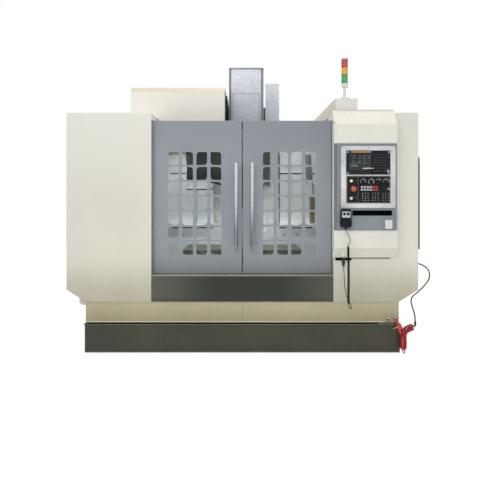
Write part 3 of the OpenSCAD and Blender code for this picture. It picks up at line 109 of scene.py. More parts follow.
class Finish:
    """A material being written: its tree, its principled shader and its coordinates."""

    def __init__(self, name):
        self.material = bpy.data.materials.new(name)
        self.material.use_nodes = True
        self.tree = self.material.node_tree
        self.shader = self.tree.nodes["Principled BSDF"]
        self.place = self.node("ShaderNodeTexCoord", out="Object")
        self.x, self.y, self.z = (
            self.node("ShaderNodeSeparateXYZ", values={"Vector": self.place}, out=axis)
            for axis in "XYZ"
        )

    def node(self, kind, settings=None, values=None, out=0):
        """Any node: its settings first, then the values or links of its sockets."""
        node = self.tree.nodes.new(kind)
        for key, setting in (settings or {}).items():
            setattr(node, key, setting)
        for key, value in (values or {}).items():
            plug(self.tree, node.inputs[key], value)
        return Value(self.tree, node.outputs[out])

    def stretched(self, sx, sy, sz):
        values = {"Vector": self.place, "Scale": (sx, sy, sz)}
        return self.node("ShaderNodeMapping", values=values)

    def noise(self, scale, detail=2, rough=0.5, at=None):
        values = {"Vector": at or self.place, "Scale": scale, "Detail": detail}
        return self.node("ShaderNodeTexNoise", values={**values, "Roughness": rough})

    def cells(self, scale):
        values = {"Vector": self.place, "Scale": scale}
        return self.node("ShaderNodeTexVoronoi", values=values, out="Distance")

    def span(self, value, low, high, to_low=0, to_high=1):
        """Value carried from low..high to to_low..to_high, and held at the ends."""
        ends = {"From Min": low, "From Max": high, "To Min": to_low, "To Max": to_high}
        settings = {"clamp": True, "interpolation_type": "SMOOTHSTEP"}
        return self.node("ShaderNodeMapRange", settings, {"Value": value, **ends})

    def mix(self, share, first, second):
        node = self.tree.nodes.new("ShaderNodeMix")
        node.data_type = "RGBA"
        plug(self.tree, node.inputs["Factor"], share)
        plug(self.tree, node.inputs[6], first)
        plug(self.tree, node.inputs[7], second)
        return Value(self.tree, node.outputs[2])

    def over(self, colour, value, low, high, code, share=1):
        """Lays a colour over another where value goes from low to high."""
        amount = self.span(value, low, high)
        return self.mix(amount if share == 1 else amount * share, colour, code)

    def inside(self, limits):
        """1 inside the millimetre limits (x0, x1, y0, y1, z0, z1); None is open."""
        mask = None
        for axis, low, high in zip((self.x, self.y, self.z), limits[::2], limits[1::2]):
            for edge, keep in ((low, axis.__gt__), (high, axis.__lt__)):
                if edge is not None:
                    step = keep(edge * MM)
                    mask = step if mask is None else mask * step
        return mask

    def zoned(self, zones, colour, gloss):
        """Another colour, roughness and metal share inside each zone's limits."""
        tint, shine = self.noise(24, 3), 0
        for limits, code, rough, metallic in zones:
            here = self.inside(limits)
            own = linear(code)
            deep = tuple(c * 0.86 for c in own)
            colour = self.mix(here, colour, self.mix(tint, deep, own))
            gloss = gloss * (1 - here) + here * (tint * 0.12 + (rough - 0.06))
            shine = here * metallic + (1 - here) * shine
        return colour, gloss, shine

    def bump(self, height, strength, depth):
        values = {"Height": height, "Strength": strength, "Distance": depth}
        return self.node("ShaderNodeBump", values=values, out="Normal")

    def done(self, **sockets):
        """Sets the shader's inputs, named with underscores for spaces."""
        for key, value in sockets.items():
            plug(self.tree, self.shader.inputs[key.replace("_", " ")], value)
        return self.material


def paint(
    name, code, rough=0.42, mottle=0.05, orange=0.1, soot=None, top=None, rub=0, zones=()
):
    """Sprayed or powder-coated sheet metal.

    mottle lightens and darkens it in broad patches, orange is the depth of the
    spray's texture, soot = (z where it starts, z where it is full, colour,
    share) greys it, top = (z where it starts, z where it is full, colour) pales
    it and rub adds small scuffs.
    """
    f = Finish(name)
    base = linear(code)
    dark = tuple(c * (1 - mottle * 2.2) for c in base)
    light = tuple(min(1, c * (1 + mottle)) for c in base)
    broad = f.noise(1.7, 4, 0.6)
    fine = f.noise(34, 3, 0.55)
    colour = f.mix(f.span(broad * 0.7 + fine * 0.3, 0.34, 0.66), dark, light)
    if top:
        colour = f.over(colour, f.z, *top)
    if soot:
        low, high, grime, share = soot
        runs = f.noise(1, 4, 0.6, at=f.stretched(4, 4, 1.3))
        amount = f.span(f.z, low, high) * f.span(runs, 0.25, 0.75, 0.78, 1) * share
        colour = f.mix(amount, colour, grime)
    if rub:
        colour = f.over(colour, f.noise(9, 6, 0.72), 0.6, 0.72, dark, rub)
    grain = f.noise(420, 2)
    gloss = f.span(fine, 0.2, 0.8, rough - 0.06, rough + 0.08)
    colour, gloss, shine = f.zoned(zones, colour, gloss)
    return f.done(
        Base_Color=colour, Roughness=gloss, Metallic=shine, Normal=f.bump(grain, orange, 0.0006),
        Coat_Weight=0.12, Coat_Roughness=0.25,
    )


def metal(name, code, rough=0.3, grain=(1, 1, 60), depth=0.12, stain=0.1, shine=1):
    """Ground, brushed or rolled metal; grain says how its fine lines stretch."""
    f = Finish(name)
    base = linear(code)
    lines = f.noise(14, 3, 0.6, at=f.stretched(*grain))
    cloud = f.noise(3.1, 4, 0.6)
    dark = tuple(c * (1 - stain * 2) for c in base)
    colour = f.mix(f.span(cloud * 0.6 + lines * 0.4, 0.32, 0.68), dark, base)
    return f.done(
        Base_Color=colour, Metallic=shine,
        Roughness=f.span(lines, 0.25, 0.75, rough - 0.08, rough + 0.1),
        Normal=f.bump(lines, depth, 0.0004),
    )


def moulded(
    name, code, rough=0.45, grain=260, depth=0.12, wear=0.12, coat=0, zones=(), mirror=0.5
):
    """Moulded plastic or rubber with a fine texture and light handling wear."""
    f = Finish(name)
    base = linear(code)
    pale = tuple(min(1, c * (1 + wear) + 0.012 * wear) for c in base)
    touch = f.noise(22, 4, 0.65)
    tex = f.cells(grain)
    colour = f.mix(f.span(touch, 0.42, 0.7), base, pale)
    gloss = f.span(touch, 0.3, 0.7, rough + 0.05, rough - 0.06)
    colour, gloss, shine = f.zoned(zones, colour, gloss)
    return f.done(
        Base_Color=colour, Roughness=gloss, Metallic=shine, Normal=f.bump(tex, depth, 0.0004),
        Coat_Weight=coat, Specular_IOR_Level=mirror,
    )


def casting(name, code, rough=0.5, pits=0.35):
    """Painted rough casting: filled and sprayed, with shallow waves and pinholes."""
    f = Finish(name)
    base = linear(code)
    wave = f.noise(6, 3, 0.5)
    tooth = f.noise(130, 4, 0.6)
    grime = f.noise(4, 6, 0.7)
    dark = tuple(c * 0.62 for c in base)
    return f.done(
        Base_Color=f.over(base, grime, 0.46, 0.74, dark, 0.55),
        Roughness=f.span(tooth, 0.2, 0.8, rough - 0.08, rough + 0.12),
        Normal=f.bump(wave * 0.6 + tooth * 0.4, pits, 0.0015),
    )


# ---- shapes
class Shape:
    """A mesh under construction, in millimetres."""

    def __init__(self):
        self.mesh = bmesh.new()

    def _soften(self, made, width, segments=2):
        if width <= 0:
            return
        verts = set(made)
        edges = [e for e in self.mesh.edges if e.verts[0] in verts and e.verts[1] in verts]
        sharp = [e for e in edges if e.is_manifold and e.calc_face_angle(0) > SOFTEN_OVER]
        bmesh.ops.bevel(
            self.mesh, geom=sharp, offset=width, offset_type="OFFSET", segments=segments,
            profile=0.5, affect="EDGES", clamp_overlap=True, material=-1,
        )

    def box(self, x0, x1, y0, y1, z0, z1, soft=0, turn=None, segments=2):
        centre = Vector(((x0 + x1) / 2, (y0 + y1) / 2, (z0 + z1) / 2))
        at = Matrix.Translation(centre) @ (turn or Matrix.Identity(4))
        size = Matrix.Diagonal((abs(x1 - x0), abs(y1 - y0), abs(z1 - z0), 1))
        made = bmesh.ops.create_cube(self.mesh, size=1, matrix=at @ size)["verts"]
        self._soften(made, soft, segments)
        return self

    def rod(self, start, end, d, d2=None, sides=24, soft=0):
        """Cylinder or cone from one point to another."""
        a, b = Vector(start), Vector(end)
        turn = (b - a).to_track_quat("Z", "Y").to_matrix().to_4x4()
        made = bmesh.ops.create_cone(
            self.mesh, cap_ends=True, segments=sides, radius1=d / 2,
            radius2=(d if d2 is None else d2) / 2, depth=(b - a).length,
            matrix=Matrix.Translation((a + b) / 2) @ turn,
        )["verts"]
        self._soften(made, soft, 2)
        return self

    def rods(self, starts, ends, d, d2=None, sides=6):
        for start, end in zip(starts, ends):
            self.rod(start, end, d, d2, sides)
        return self

    def turned(self, profile, at, axis=(0, 0, 1), sides=32):
        """Profile of (radius, height) points spun round an axis through at."""
        turn = Vector(axis).to_track_quat("Z", "Y").to_matrix().to_4x4()
        place = Matrix.Translation(at) @ turn
        row = [self.mesh.verts.new((r, 0, h)) for r, h in profile]
        edges = [self.mesh.edges.new(pair) for pair in zip(row, row[1:])]
        before = set(self.mesh.verts)
        bmesh.ops.spin(
            self.mesh, geom=row + edges, cent=(0, 0, 0), axis=(0, 0, 1), angle=tau, steps=sides,
            use_merge=True,
        )
        made = row + [v for v in self.mesh.verts if v not in before]
        bmesh.ops.remove_doubles(self.mesh, verts=made, dist=WELD)
        made = [v for v in made if v.is_valid]
        faces = {f for v in made for f in v.link_faces}
        bmesh.ops.recalc_face_normals(self.mesh, faces=list(faces))
        bmesh.ops.transform(self.mesh, matrix=place, verts=made)
        return self

    def plate(self, outline, depth, at=(0, 0, 0), facing="Y", soft=0, holes=()):
        """Flat outline pushed out: facing Y takes (x, z) points, Z takes (x, y),
        X takes (y, z). It grows from at by depth along that axis."""
        loops = [
            [self.mesh.verts.new(_laid(facing, p, at)) for p in ring] for ring in (outline, *holes)
        ]
        if holes:
            edges = []
            for verts in loops:
                pairs = zip(verts, verts[1:] + verts[:1])
                edges += [self.mesh.edges.new(pair) for pair in pairs]
            filled = bmesh.ops.triangle_fill(
                self.mesh, use_beauty=True, use_dissolve=False, edges=edges
            )["geom"]
            faces = [g for g in filled if isinstance(g, bmesh.types.BMFace)]
        else:
            faces = [self.mesh.faces.new(loops[0])]
        push = _laid(facing, (0, 0), (0, 0, 0), depth)
        grown = bmesh.ops.extrude_face_region(self.mesh, geom=faces)["geom"]
        moved = [g for g in grown if isinstance(g, bmesh.types.BMVert)]
        bmesh.ops.translate(self.mesh, vec=push, verts=moved)
        made = [v for loop in loops for v in loop] + moved
        shells = list({f for v in made for f in v.link_faces})
        bmesh.ops.recalc_face_normals(self.mesh, faces=shells)
        self._soften(made, soft)
        return self

    def rim(self, limits, radii, inset, inner, depth, at, facing="Y", soft=0, steps=5):
        """Flat band between a rounded rectangle and one set in from it."""
        x0, z0, x1, z1 = limits
        hole = frame_of(x0 + inset, z0 + inset, x1 - inset, z1 - inset, inner, steps)
        return self.plate(frame_of(*limits, radii, steps), depth, at, facing, soft, [hole])

    def tube(self, points, d, sides=12):
        """Round bar along a line of points, closed at both ends."""
        line = [Vector(p) for p in points]
        rings, side = [], None
        for i, p in enumerate(line):
            ahead = line[min(i + 1, len(line) - 1)] - line[max(i - 1, 0)]
            ahead.normalize()
            if side is None:
                side = ahead.orthogonal().normalized()
            side = (side - ahead * side.dot(ahead)).normalized()
            other = ahead.cross(side)
            turns = [tau * k / sides for k in range(sides)]
            ring = [p + (side * cos(a) + other * sin(a)) * d / 2 for a in turns]
            rings.append([self.mesh.verts.new(point) for point in ring])
        for a, b in zip(rings, rings[1:]):
            for k in range(sides):
                self.mesh.faces.new((a[k - 1], a[k], b[k], b[k - 1]))
        self.mesh.faces.new(rings[0][::-1])
        self.mesh.faces.new(rings[-1])
        return self

    def screw(self, at, facing, d, high, kind="pan"):
        """Bolt head with its washer on a surface: pan or cap (socket head)."""
        n, p = Vector(facing), Vector(at)
        foot = p + n * WASHER
        self.rod(p, foot, d * 1.55, sides=16)
        if kind == "cap":
            return self.rod(foot, foot + n * high * 1.6, d, sides=16, soft=d * 0.08)
        return self.rod(foot, foot + n * high, d, d * 0.72, sides=14, soft=d * 0.05)

    def screws(self, xs, ys, zs, facing, d, high, kind="pan"):
        """Bolt heads wherever the given places cross; one number is one place."""
        rows = [(v,) if isinstance(v, (int, float)) else v for v in (xs, ys, zs)]
        for at in product(*rows):
            self.screw(at, facing, d, high, kind)
        return self

    def made(self, name, material):
        """Object of the finished mesh: in metres, at the origin."""
        data = bpy.data.meshes.new(name)
        self.mesh.to_mesh(data)
        self.mesh.free()
        data.transform(Matrix.Scale(MM, 4))
        data.materials.append(material)
        return placed(name, data)

    def done(self, name, material, body="machine", stands_for=()):
        """Finished piece, riding on its body."""
        piece = self.made(name, material)
        piece.data.shade_smooth()
        piece.data.set_sharp_from_angle(angle=SMOOTH_BELOW)
        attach(piece, body)
        if stands_for:
            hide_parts(*stands_for)
        return piece


def placed(name, data):
    """New object in the scene."""
    piece = bpy.data.objects.new(name, data)
    bpy.context.scene.collection.objects.link(piece)
    return piece


def blocks(name, material, *rows, body="machine"):
    """Piece made of plain blocks, each given as box() takes it."""
    shape = Shape()
    for row in rows:
        shape.box(*row)
    return shape.done(name, material, body)


def both(x0, x1, *rest):
    """A block and its mirror image, left and right."""
    return [(s * x0, s * x1, *rest) for s in SIDES]


def _laid(facing, point, at, depth=0):
    a, b = point
    step = {"Y": (a, depth, b), "Z": (a, b, depth), "X": (depth, a, b)}[facing]
    return Vector(at) + Vector(step)


def _rounder(line):
    """One round of corner cutting on an open line."""
    out = [line[0]]
    for a, b in zip(line, line[1:]):
        out += [a.lerp(b, 0.25), a.lerp(b, 0.75)]
    return [*out, line[-1]]


def frame_of(x0, z0, x1, z1, radii, steps=5):
    """Rectangle outline with a radius at each corner, from the upper right round."""
    if not isinstance(radii, (tuple, list)):
        radii = [radii] * 4
    corners = [(x1, z1, -1, -1, 0), (x0, z1, 1, -1, 90), (x0, z0, 1, 1, 180), (x1, z0, -1, 1, 270)]
    points = []
    for (cx, cz, sx, sz, start), r in zip(corners, radii):
        for i in range(steps + 1):
            a = radians(start + 90 * i / steps)
            points.append((cx + sx * r + r * cos(a), cz + sz * r + r * sin(a)))
    return points


def arc(x, y, z, r, count, start=0, sweep=tau):
    """Points of an arc that faces the front, both ends included."""
    angles = [start + sweep * k / count for k in range(count + 1)]
    return [(x + r * cos(a), y, z + r * sin(a)) for a in angles]


# ---- finishes
FLANK = -1601.5
SOOT, UPPER = (0.98, 0.46, "A9A186", 0.75), (1.2, 2.1, "E4E3D9")


def hatch_marks():
    """Seams, hatch outline, louvre slots and latch drawn on the left flank."""
    marks = [(y - 1.5, y + 1.5, 582, None, "6E6C62") for y in (-640, -120)]
    marks += [(y, y + 4, 1000, 1640, "66645A") for y in (-560, -184)]
    marks += [(-560, -180, z, z + 4, "66645A") for z in (1000, 1636)]
    marks += [(-480, -260, z, z + 8, "3A3A36") for z in range(1120, 1361, 30)]
    marks.append((-226, -194, 1314, 1346, "2B2B2D"))
    return [((None, FLANK, *limits), code, 0.45, 0.1) for *limits, code in marks]


CREAM = paint("cream_coat", "E3E0D2", 0.44, 0.022, 0.1, SOOT, UPPER, 0.25)
APRON = paint(
    "apron_coat", "BCB595", 0.48, 0.05, 0.12, (0.47, 0.27, "7E775B", 0.55), None, 0.5,
    zones=[((1300, 1410, None, -1150.4, 300, 335), "8C8880", 0.36, 0.85)],
)
DOOR = paint(
    "door_grey_coat", "949AA2", 0.36, 0.03, 0.12,
    (1, 0.7, "7C817F", 0.6), (1.7, 2.15, "8A9098"), 0.2,
)
PANEL_GREY = paint(
    "pendant_grey_coat", "80898F", 0.4, 0.02, 0.14, zones=[
        ((1255, None, None, -1280.6, None, 1230), "D9D8DC", 0.34, 0.3),
        ((978, 1334, None, None, 1136, 1258), "8F989F", 0.4, 0),
    ],
)
DOOR_EDGE = paint("door_edge_coat", "A9AFB6", 0.34, 0.03, 0.08)
PENDANT = paint(
    "pendant_cream_coat", "EDEBE0", 0.44, 0.02, 0.1, None, None, 0.2, zones=[
        ((None, 846.4, None, -1248.5, 1125, 1902), "737C81", 0.4, 0),
        ((None, None, None, None, 2078, None), "DDD9CE", 0.5, 0),
        ((898, 930, -1212, -1180, None, 881), "1B1B1D", 0.5, 0),
        ((1380.2, None, None, None, None, None), "232326", 0.42, 0.2),
    ],
)
LEFT_SIDE = paint("left_side_coat", "E3E0D2", 0.44, 0.022, 0.1, SOOT, UPPER, 0.25, hatch_marks())
# Painted light: the right cabinet takes a paler copy of the cream, to make up for the light that
# falls from the left.
RIGHT_SIDE_LIT = paint(
    "right_side_painted_light_coat", "EAE8DC", 0.44, 0.022, 0.1, (*SOOT[:3], 0.8), UPPER, 0.25, zones=[
        ((1602.4, None, None, None, 940, None), "34373B", 0.42, 0.1),
        ((1602.4, 1625, None, None, None, 940), "B98F4C", 0.3, 0.9),
        ((1604.5, 1611.5, -889.8, -10.2, 987.2, 1703.8), "8E9A98", 0.08, 0),
    ],
)
E_CABINET = paint(
    "electric_cabinet_coat", "DFDCCF", 0.44, 0.022, 0.1, None, None, 0.2, zones=[
        ((-556.8, 636.8, 957.9, 1334.9, 503.1, 2176.9), "B9BEBB", 0.36, 0.5),
        ((-520, 520, 980, 1314.4, 1640, 2040), "33363A", 0.46, 0.1),
        ((None, None, 1335.2, None, None, None), "26282B", 0.42, 0.2),
    ],
)
MAGAZINE = paint(
    "magazine_white_coat", "EFEAE1", 0.46, 0.02, 0.08, (2.24, 1.9, "DCD5C4", 0.5), None, 0,
    zones=[
        # Painted shade: the sloped top band is a darker beige where less light falls on it.
        ((None, None, None, None, 2456.5, None), "D8CAB7", 0.46, 0),
        # Painted shade: the right side face, which is in shadow, in dark grey.
        ((-173.5, None, None, None, None, None), "6B6A64", 0.46, 0),
        # Painted shade: near-black underside over the tool-change cavity.
        ((-640, -180, -760, None, None, 1904), "1C1D1B", 0.5, 0),
    ],
)
RACEWAY = paint(
    "raceway_coat", "E3E2DB", 0.44, 0.02, 0.1,
    zones=[((None, 851, None, None, None, None), "D6C4AA", 0.46, 0)],
)
COLUMN = paint(
    "column_coat", "9BA096", 0.5, 0.05, 0.2, None, None, 0.3,
    zones=[((None, None, None, 337, 980, 2300), "F0F4F2", 0.42, 0.1)],
)
DARK_COAT = paint("dark_grey_coat", "4A4D4F", 0.42, 0.05, 0.14)
CASTING = casting("bed_casting", "9BA096")
HEAD_CAST = casting("head_casting", "4A4F4D", 0.42, 0.25)
COVER_STEEL = metal("way_cover_steel", "C6CBCC", 0.3, (50, 1, 1), 0.1, 0.12)
STAINLESS = metal("polished_bar", "DDE0E3", 0.2, (1, 1, 40), 0.03, 0.03)
GROUND = metal("ground_steel", "C5C8CA", 0.24, (30, 30, 1), 0.08, 0.06)
TABLE_IRON = metal("table_iron", "A8A28C", 0.36, (1, 34, 1), 0.15, 0.16)
ZINC = metal("zinc_screws", "B9BBB8", 0.34, (8, 8, 8), 0.1, 0.15)
BLACK_OXIDE = metal("black_oxide", "2C2D2F", 0.4, (6, 6, 6), 0.1, 0.1, 0.75)
BRASS = metal("brass_fitting", "C79A52", 0.28, (20, 20, 3), 0.06, 0.15)
BEZEL = metal("bezel_silver", "F7F6F7", 0.36, (3, 3, 24), 0.06, 0.2, 0.3)
UNIT_BLACK = moulded("unit_face", "1A1A20", 0.44, 320, 0.08, mirror=0.2)
KNOB = moulded("knob_plastic", "0A0A0B", 0.44, 300, 0.06, 0.3, mirror=0.25)
RUBBER = moulded("black_rubber", "0B0B0B", 0.7, 180, 0.16, 0.6, mirror=0.15)
CABLE = moulded("cable_jacket", "09090A", 0.66, 240, 0.1, 0.4, mirror=0.12)
WHITE = moulded("white_plastic", "E8E7E4", 0.38, 280, 0.05, 0.04, 0.15)
POT = moulded("pot_plastic", "DEDDD4", 0.42, 260, 0.08, 0.06)
POTS = moulded(
    "magazine_pots", "DEDDD4", 0.42, 260, 0.08, 0.06, 0,
    [((-478.2, None, None, None, None, None), "8C9193", 0.36, 0.7)],
)
KEY_DARK = moulded("key_dark", "222328", 0.5, 300, 0.08, 0.25, mirror=0.2)
KEY_MARK = moulded("key_marks", "B4B7BE", 0.46, 300, 0.05, 0.1)
KEY_PALE = moulded("key_pale", "B9B9B6", 0.44, 300, 0.06, 0.05)
KEY_RED = moulded("key_red", "B04A38", 0.44, 300, 0.06, 0.06)
STOP_RED = moulded("stop_red", "D9492A", 0.32, 300, 0.05, 0.05, 0.3)
SWITCH_RED = moulded("switch_red", "C42B22", 0.36, 300, 0.05, 0.05, 0.2)
GUN_RED = moulded("gun_red", "C9453C", 0.4, 160, 0.1, 0.25, 0.15)
HOSE_RED = moulded("hose_red", "A30A06", 0.34, 120, 0.05, 0.25, 0.15)
TUBE_BROWN = moulded("air_tube_brown", "6A4840", 0.42, 160, 0.1, 0.35, 0.1)
LENS_GREEN = moulded("lens_green", "2FA35E", 0.2, 90, 0.05, 0.2, 0.6)
LENS_AMBER = moulded("lens_amber", "E0A02A", 0.2, 90, 0.05, 0.2, 0.6)
LENS_RED = moulded("lens_red", "C2352C", 0.2, 90, 0.05, 0.2, 0.6)
TOWER = moulded("tower_plastic", "D9D9D7", 0.36, 260, 0.05, 0.04, 0.1)
MPG = moulded(
    "handwheel_case", "0A0A0B", 0.48, 300, 0.06, 0.3, mirror=0.2,
    zones=[((876, 948, None, -1337, 1243, 1296), "DDE0E2", 0.4, 0)],
)


def bar_skin():
    """Polished bar with a painted reflection: bright above, darker with mirrored streaks towards
    its foot.
    """
    f = Finish("grip_bar_painted_reflection")
    lines = f.noise(20, 3, 0.6, at=f.stretched(1, 1, 40))
    mirrored_streak = f.noise(1, 3, 0.6, at=f.stretched(60, 60, 1.5))
    # Painted reflection: mirrored dark streaks near the foot over a pale-to-darker fade.
    foot = f.span(f.z, 1.4, 1) * f.span(mirrored_streak, 0.35, 0.6)
    base = f.over("F4F6F8", f.z, 1.7, 0.98, "B9B9B6")
    return f.done(
        Base_Color=f.mix(foot * 0.75, base, "55504A"), Metallic=1,
        Roughness=f.span(lines, 0.25, 0.75, 0.14, 0.3), Normal=f.bump(lines, 0.03, 0.0004),
    )


BAR = bar_skin()


def head_skin(name, shades=("BDC2CC", "DFE3EC", "8F959E", "ADB3BB")):
    """Silver sheet of the head cover: grained, a little scuffed, and darker downwards by a painted
    reflection.
    """
    f = Finish(name)
    cloud = f.noise(3.4, 5, 0.62)
    patch = f.noise(13, 4, 0.6)
    speck = f.span(f.noise(46, 5, 0.75), 0.38, 0.64)
    mixed = cloud * 0.25 + patch * 0.25 + f.noise(64, 5, 0.7) * 0.5
    top, pale, foot, light = shades
    high = f.over(top, mixed, 0.38, 0.62, pale)
    low = f.over(foot, mixed, 0.36, 0.64, light)
    # Painted reflection: the sheet fades from the pale top shades to the darker foot shades.
    body = f.mix(f.span(f.z, 2.12, 2.68), low, high)
    return f.done(
        Base_Color=f.mix(speck * 0.35, body, "8F96A1"),
        Roughness=f.span(patch, 0.3, 0.7, 0.3, 0.44), Metallic=0.25,
        Normal=f.bump(f.noise(380, 2), 0.1, 0.0006), Coat_Weight=0.2,
    )


def tank_skin():
    """Olive-black coolant tank with runs, splashes and pale scrapes, and painted shade darkening
    its foot.
    """
    f = Finish("tank_coat")
    runs = f.noise(1, 6, 0.65, at=f.stretched(9, 9, 1.1))
    stain = f.noise(2.6, 5, 0.62)
    spots = f.noise(30, 6, 0.72)
    base = f.over("303424", stain, 0.32, 0.68, "3F3E2D")
    base = f.over(base, runs, 0.5, 0.8, "4C4936", 0.35)
    # Painted shade: the ground's contact shadow darkens the tank's foot.
    base = f.over(base, f.z, 0.09, 0, "2B2D29", 0.6)
    return f.done(
        Base_Color=f.over(base, spots, 0.66, 0.76, "7D7A6A", 0.35),
        Roughness=f.span(runs, 0.3, 0.7, 0.44, 0.6),
        Normal=f.bump(f.noise(160, 3), 0.14, 0.0008),
    )


def sill_skin():
    """Dark sill: greenish black, greyer where coolant has dried."""
    f = Finish("sill_coat")
    dried = f.noise(1.1, 4, 0.55, at=f.stretched(1.4, 1.4, 3))
    fine = f.noise(26, 5, 0.68)
    base = f.over("161D0F", dried, 0.3, 0.7, "1F2619")
    base = f.over(base, f.x, -0.2, -0.85, "5F6156", 0.7)
    base = f.over(base, f.x, 0.3, 0.85, "5A5C52", 0.6)
    base = f.over(base, f.z, 0.52, 0.47, "1E2119", 0.5)
    return f.done(
        Base_Color=f.over(base, fine, 0.6, 0.76, "6A6C60", 0.15),
        Roughness=f.span(dried, 0.3, 0.7, 0.4, 0.54),
        Normal=f.bump(f.noise(240, 3), 0.1, 0.0006), Coat_Weight=0.08,
    )


def wall_skin():
    """Stainless lining seen through the windows: dull, rolled, stained by coolant."""
    f = Finish("inner_stainless")
    roll = f.noise(1, 3, 0.6, at=f.stretched(2, 2, 42))
    stain = f.noise(2.2, 6, 0.66)
    drips = f.noise(1, 5, 0.6, at=f.stretched(22, 22, 1.2))
    base = f.over("CCD6D4", stain, 0.34, 0.68, "E3E9E7")
    base = f.over(base, drips, 0.52, 0.78, "8E9A93", 0.35)
    return f.done(
        Base_Color=base, Metallic=0.12, Roughness=f.span(roll, 0.25, 0.75, 0.34, 0.52),
        Normal=f.bump(roll, 0.1, 0.0006),
    )


def pane_skin():
    """Polycarbonate pane: clear, slightly green, with a film of fine drops."""
    f = Finish("window_pane")
    drops = f.noise(38, 5, 0.7)
    smear = f.noise(2.6, 4, 0.6)
    haze = f.span(drops * 0.5 + smear * 0.5, 0.42, 0.72, 0.008, 0.03)
    return f.done(
        Base_Color="B9C6C2", Roughness=f.span(smear, 0.3, 0.7, 0.05, 0.14), Alpha=haze,
        Specular_IOR_Level=0.2,
    )


def screen_skin():
    """Display: dark glass with faint ruled cells, switched off in its margins."""
    f = Finish("display_glass")
    u, v = (f.x - 0.945) / 0.2, (f.z - 1.656) / 0.152
    rules = f.span(abs((v * 8) % 1 - 0.5), 0.46, 0.5) * f.span(abs(u - 0.5), 0.46, 0.44)
    cells = f.span(abs((u * 10) % 1 - 0.5), 0.47, 0.5) * f.span(abs(v - 0.3), 0.16, 0.14)
    smear = f.noise(7, 4, 0.6)
    dark = f.over("1A1C22", smear, 0.3, 0.7, "262930")
    drawn = f.mix(rules * 0.18 + cells * 0.12, dark, "8F9AA6")
    return f.done(
        Base_Color=drawn, Roughness=f.span(smear, 0.3, 0.7, 0.1, 0.22), Emission_Color=drawn,
        Emission_Strength=0.12, Coat_Weight=0.4,
    )


def bottle_skin():
    """Translucent lubricator bottle, yellower where the oil stands."""
    f = Finish("oil_bottle")
    cloud = f.noise(14, 4, 0.6)
    oil = f.over("DDD7BE", cloud, 0.3, 0.7, "E6E1CC")
    clear = f.over("EDECE2", cloud, 0.3, 0.7, "F6F5EC")
    return f.done(
        Base_Color=f.mix(f.span(f.z, 0.462, 0.456), clear, oil),
        Roughness=f.span(cloud, 0.3, 0.7, 0.28, 0.4), Normal=f.bump(cloud, 0.08, 0.0006),
        Subsurface_Weight=0.25, Subsurface_Scale=0.01, Coat_Weight=0.2,
    )


DUCT = head_skin("duct_silver_coat", ("D2D6DE", "F0F2F8", "BCC1C8", "D6DAE0"))
HEAD_SKIN, TANK, SILL, WALL = head_skin("head_silver_coat"), tank_skin(), sill_skin(), wall_skin()
PANE, SCREEN, BOTTLE = pane_skin(), screen_skin(), bottle_skin()

for finish, nodes in (
    (CASTING, "bed saddle"), (COLUMN, "column"), (TANK, "coolant_tank"),
    (LEFT_SIDE, "left_cabinet"), (RIGHT_SIDE_LIT, "right_cabinet"), (PENDANT, "pendant_housing"),
    (RACEWAY, "cable_raceway"), (E_CABINET, "electrical_cabinet cabinet_door"),
    (APRON, "front_apron"), (SILL, "door_frame"), (WALL, "inner_walls z_mid_cover"),
    (MAGAZINE, "magazine_cover"), (HEAD_CAST, "magazine_frame spindle_head"),
    (PANEL_GREY, "pendant_panel"), (BEZEL, "panel_bezel"), (UNIT_BLACK, "control_units"),
    (DUCT, "chain_housing"), (DOOR, "left_door right_door"), (PANE, "left_window right_window"),
    (STAINLESS, "left_handle right_handle"),
    (COVER_STEEL, "y_covers y_mid_cover_a y_mid_cover_b x_covers x_mid_covers"),
    (TABLE_IRON, "table"), (HEAD_SKIN, "head_cover"), (RUBBER, "coolant_nozzles"),
    (GROUND, "spindle arm_shaft"), (POTS, "tool_magazine"), (POT, "changing_pot"),
    (BLACK_OXIDE, "tool_arm"), (STOP_RED, "e_stop"), (WHITE, "power_button start_button"),
    (KNOB, "mode_knob feed_knob rapid_knob spindle_speed_knob "
     "mpg_dial mpg_axis_knob mpg_range_knob"),
    (MPG, "mpg_body"), (SWITCH_RED, "main_switch"), (TOWER, "signal_tower"),
    (BOTTLE, "lubricator"), (CABLE, "mpg_cable mpg_coil"), (GUN_RED, "air_gun"),
    (TUBE_BROWN, "air_tube"), (HOSE_RED, "air_coil"),
):
    for node in nodes.split():
        slots = NODES[node].data.materials
        for index in range(len(slots)):
            slots[index] = finish

# ---- camera, light, floor
lens = bpy.data.cameras.new("camera")
camera = placed("camera", lens)
camera.location = (0, -6.02, 1.45)
camera.rotation_euler = (radians(90), 0, 0)
lens.lens, lens.sensor_width = 40.03, 36
lens.shift_x, lens.shift_y = -0.0048, -0.0958
lens.clip_start, lens.clip_end = 0.05, 900
scene = bpy.context.scene
scene.camera = camera
scene.view_settings.view_transform = "Standard"

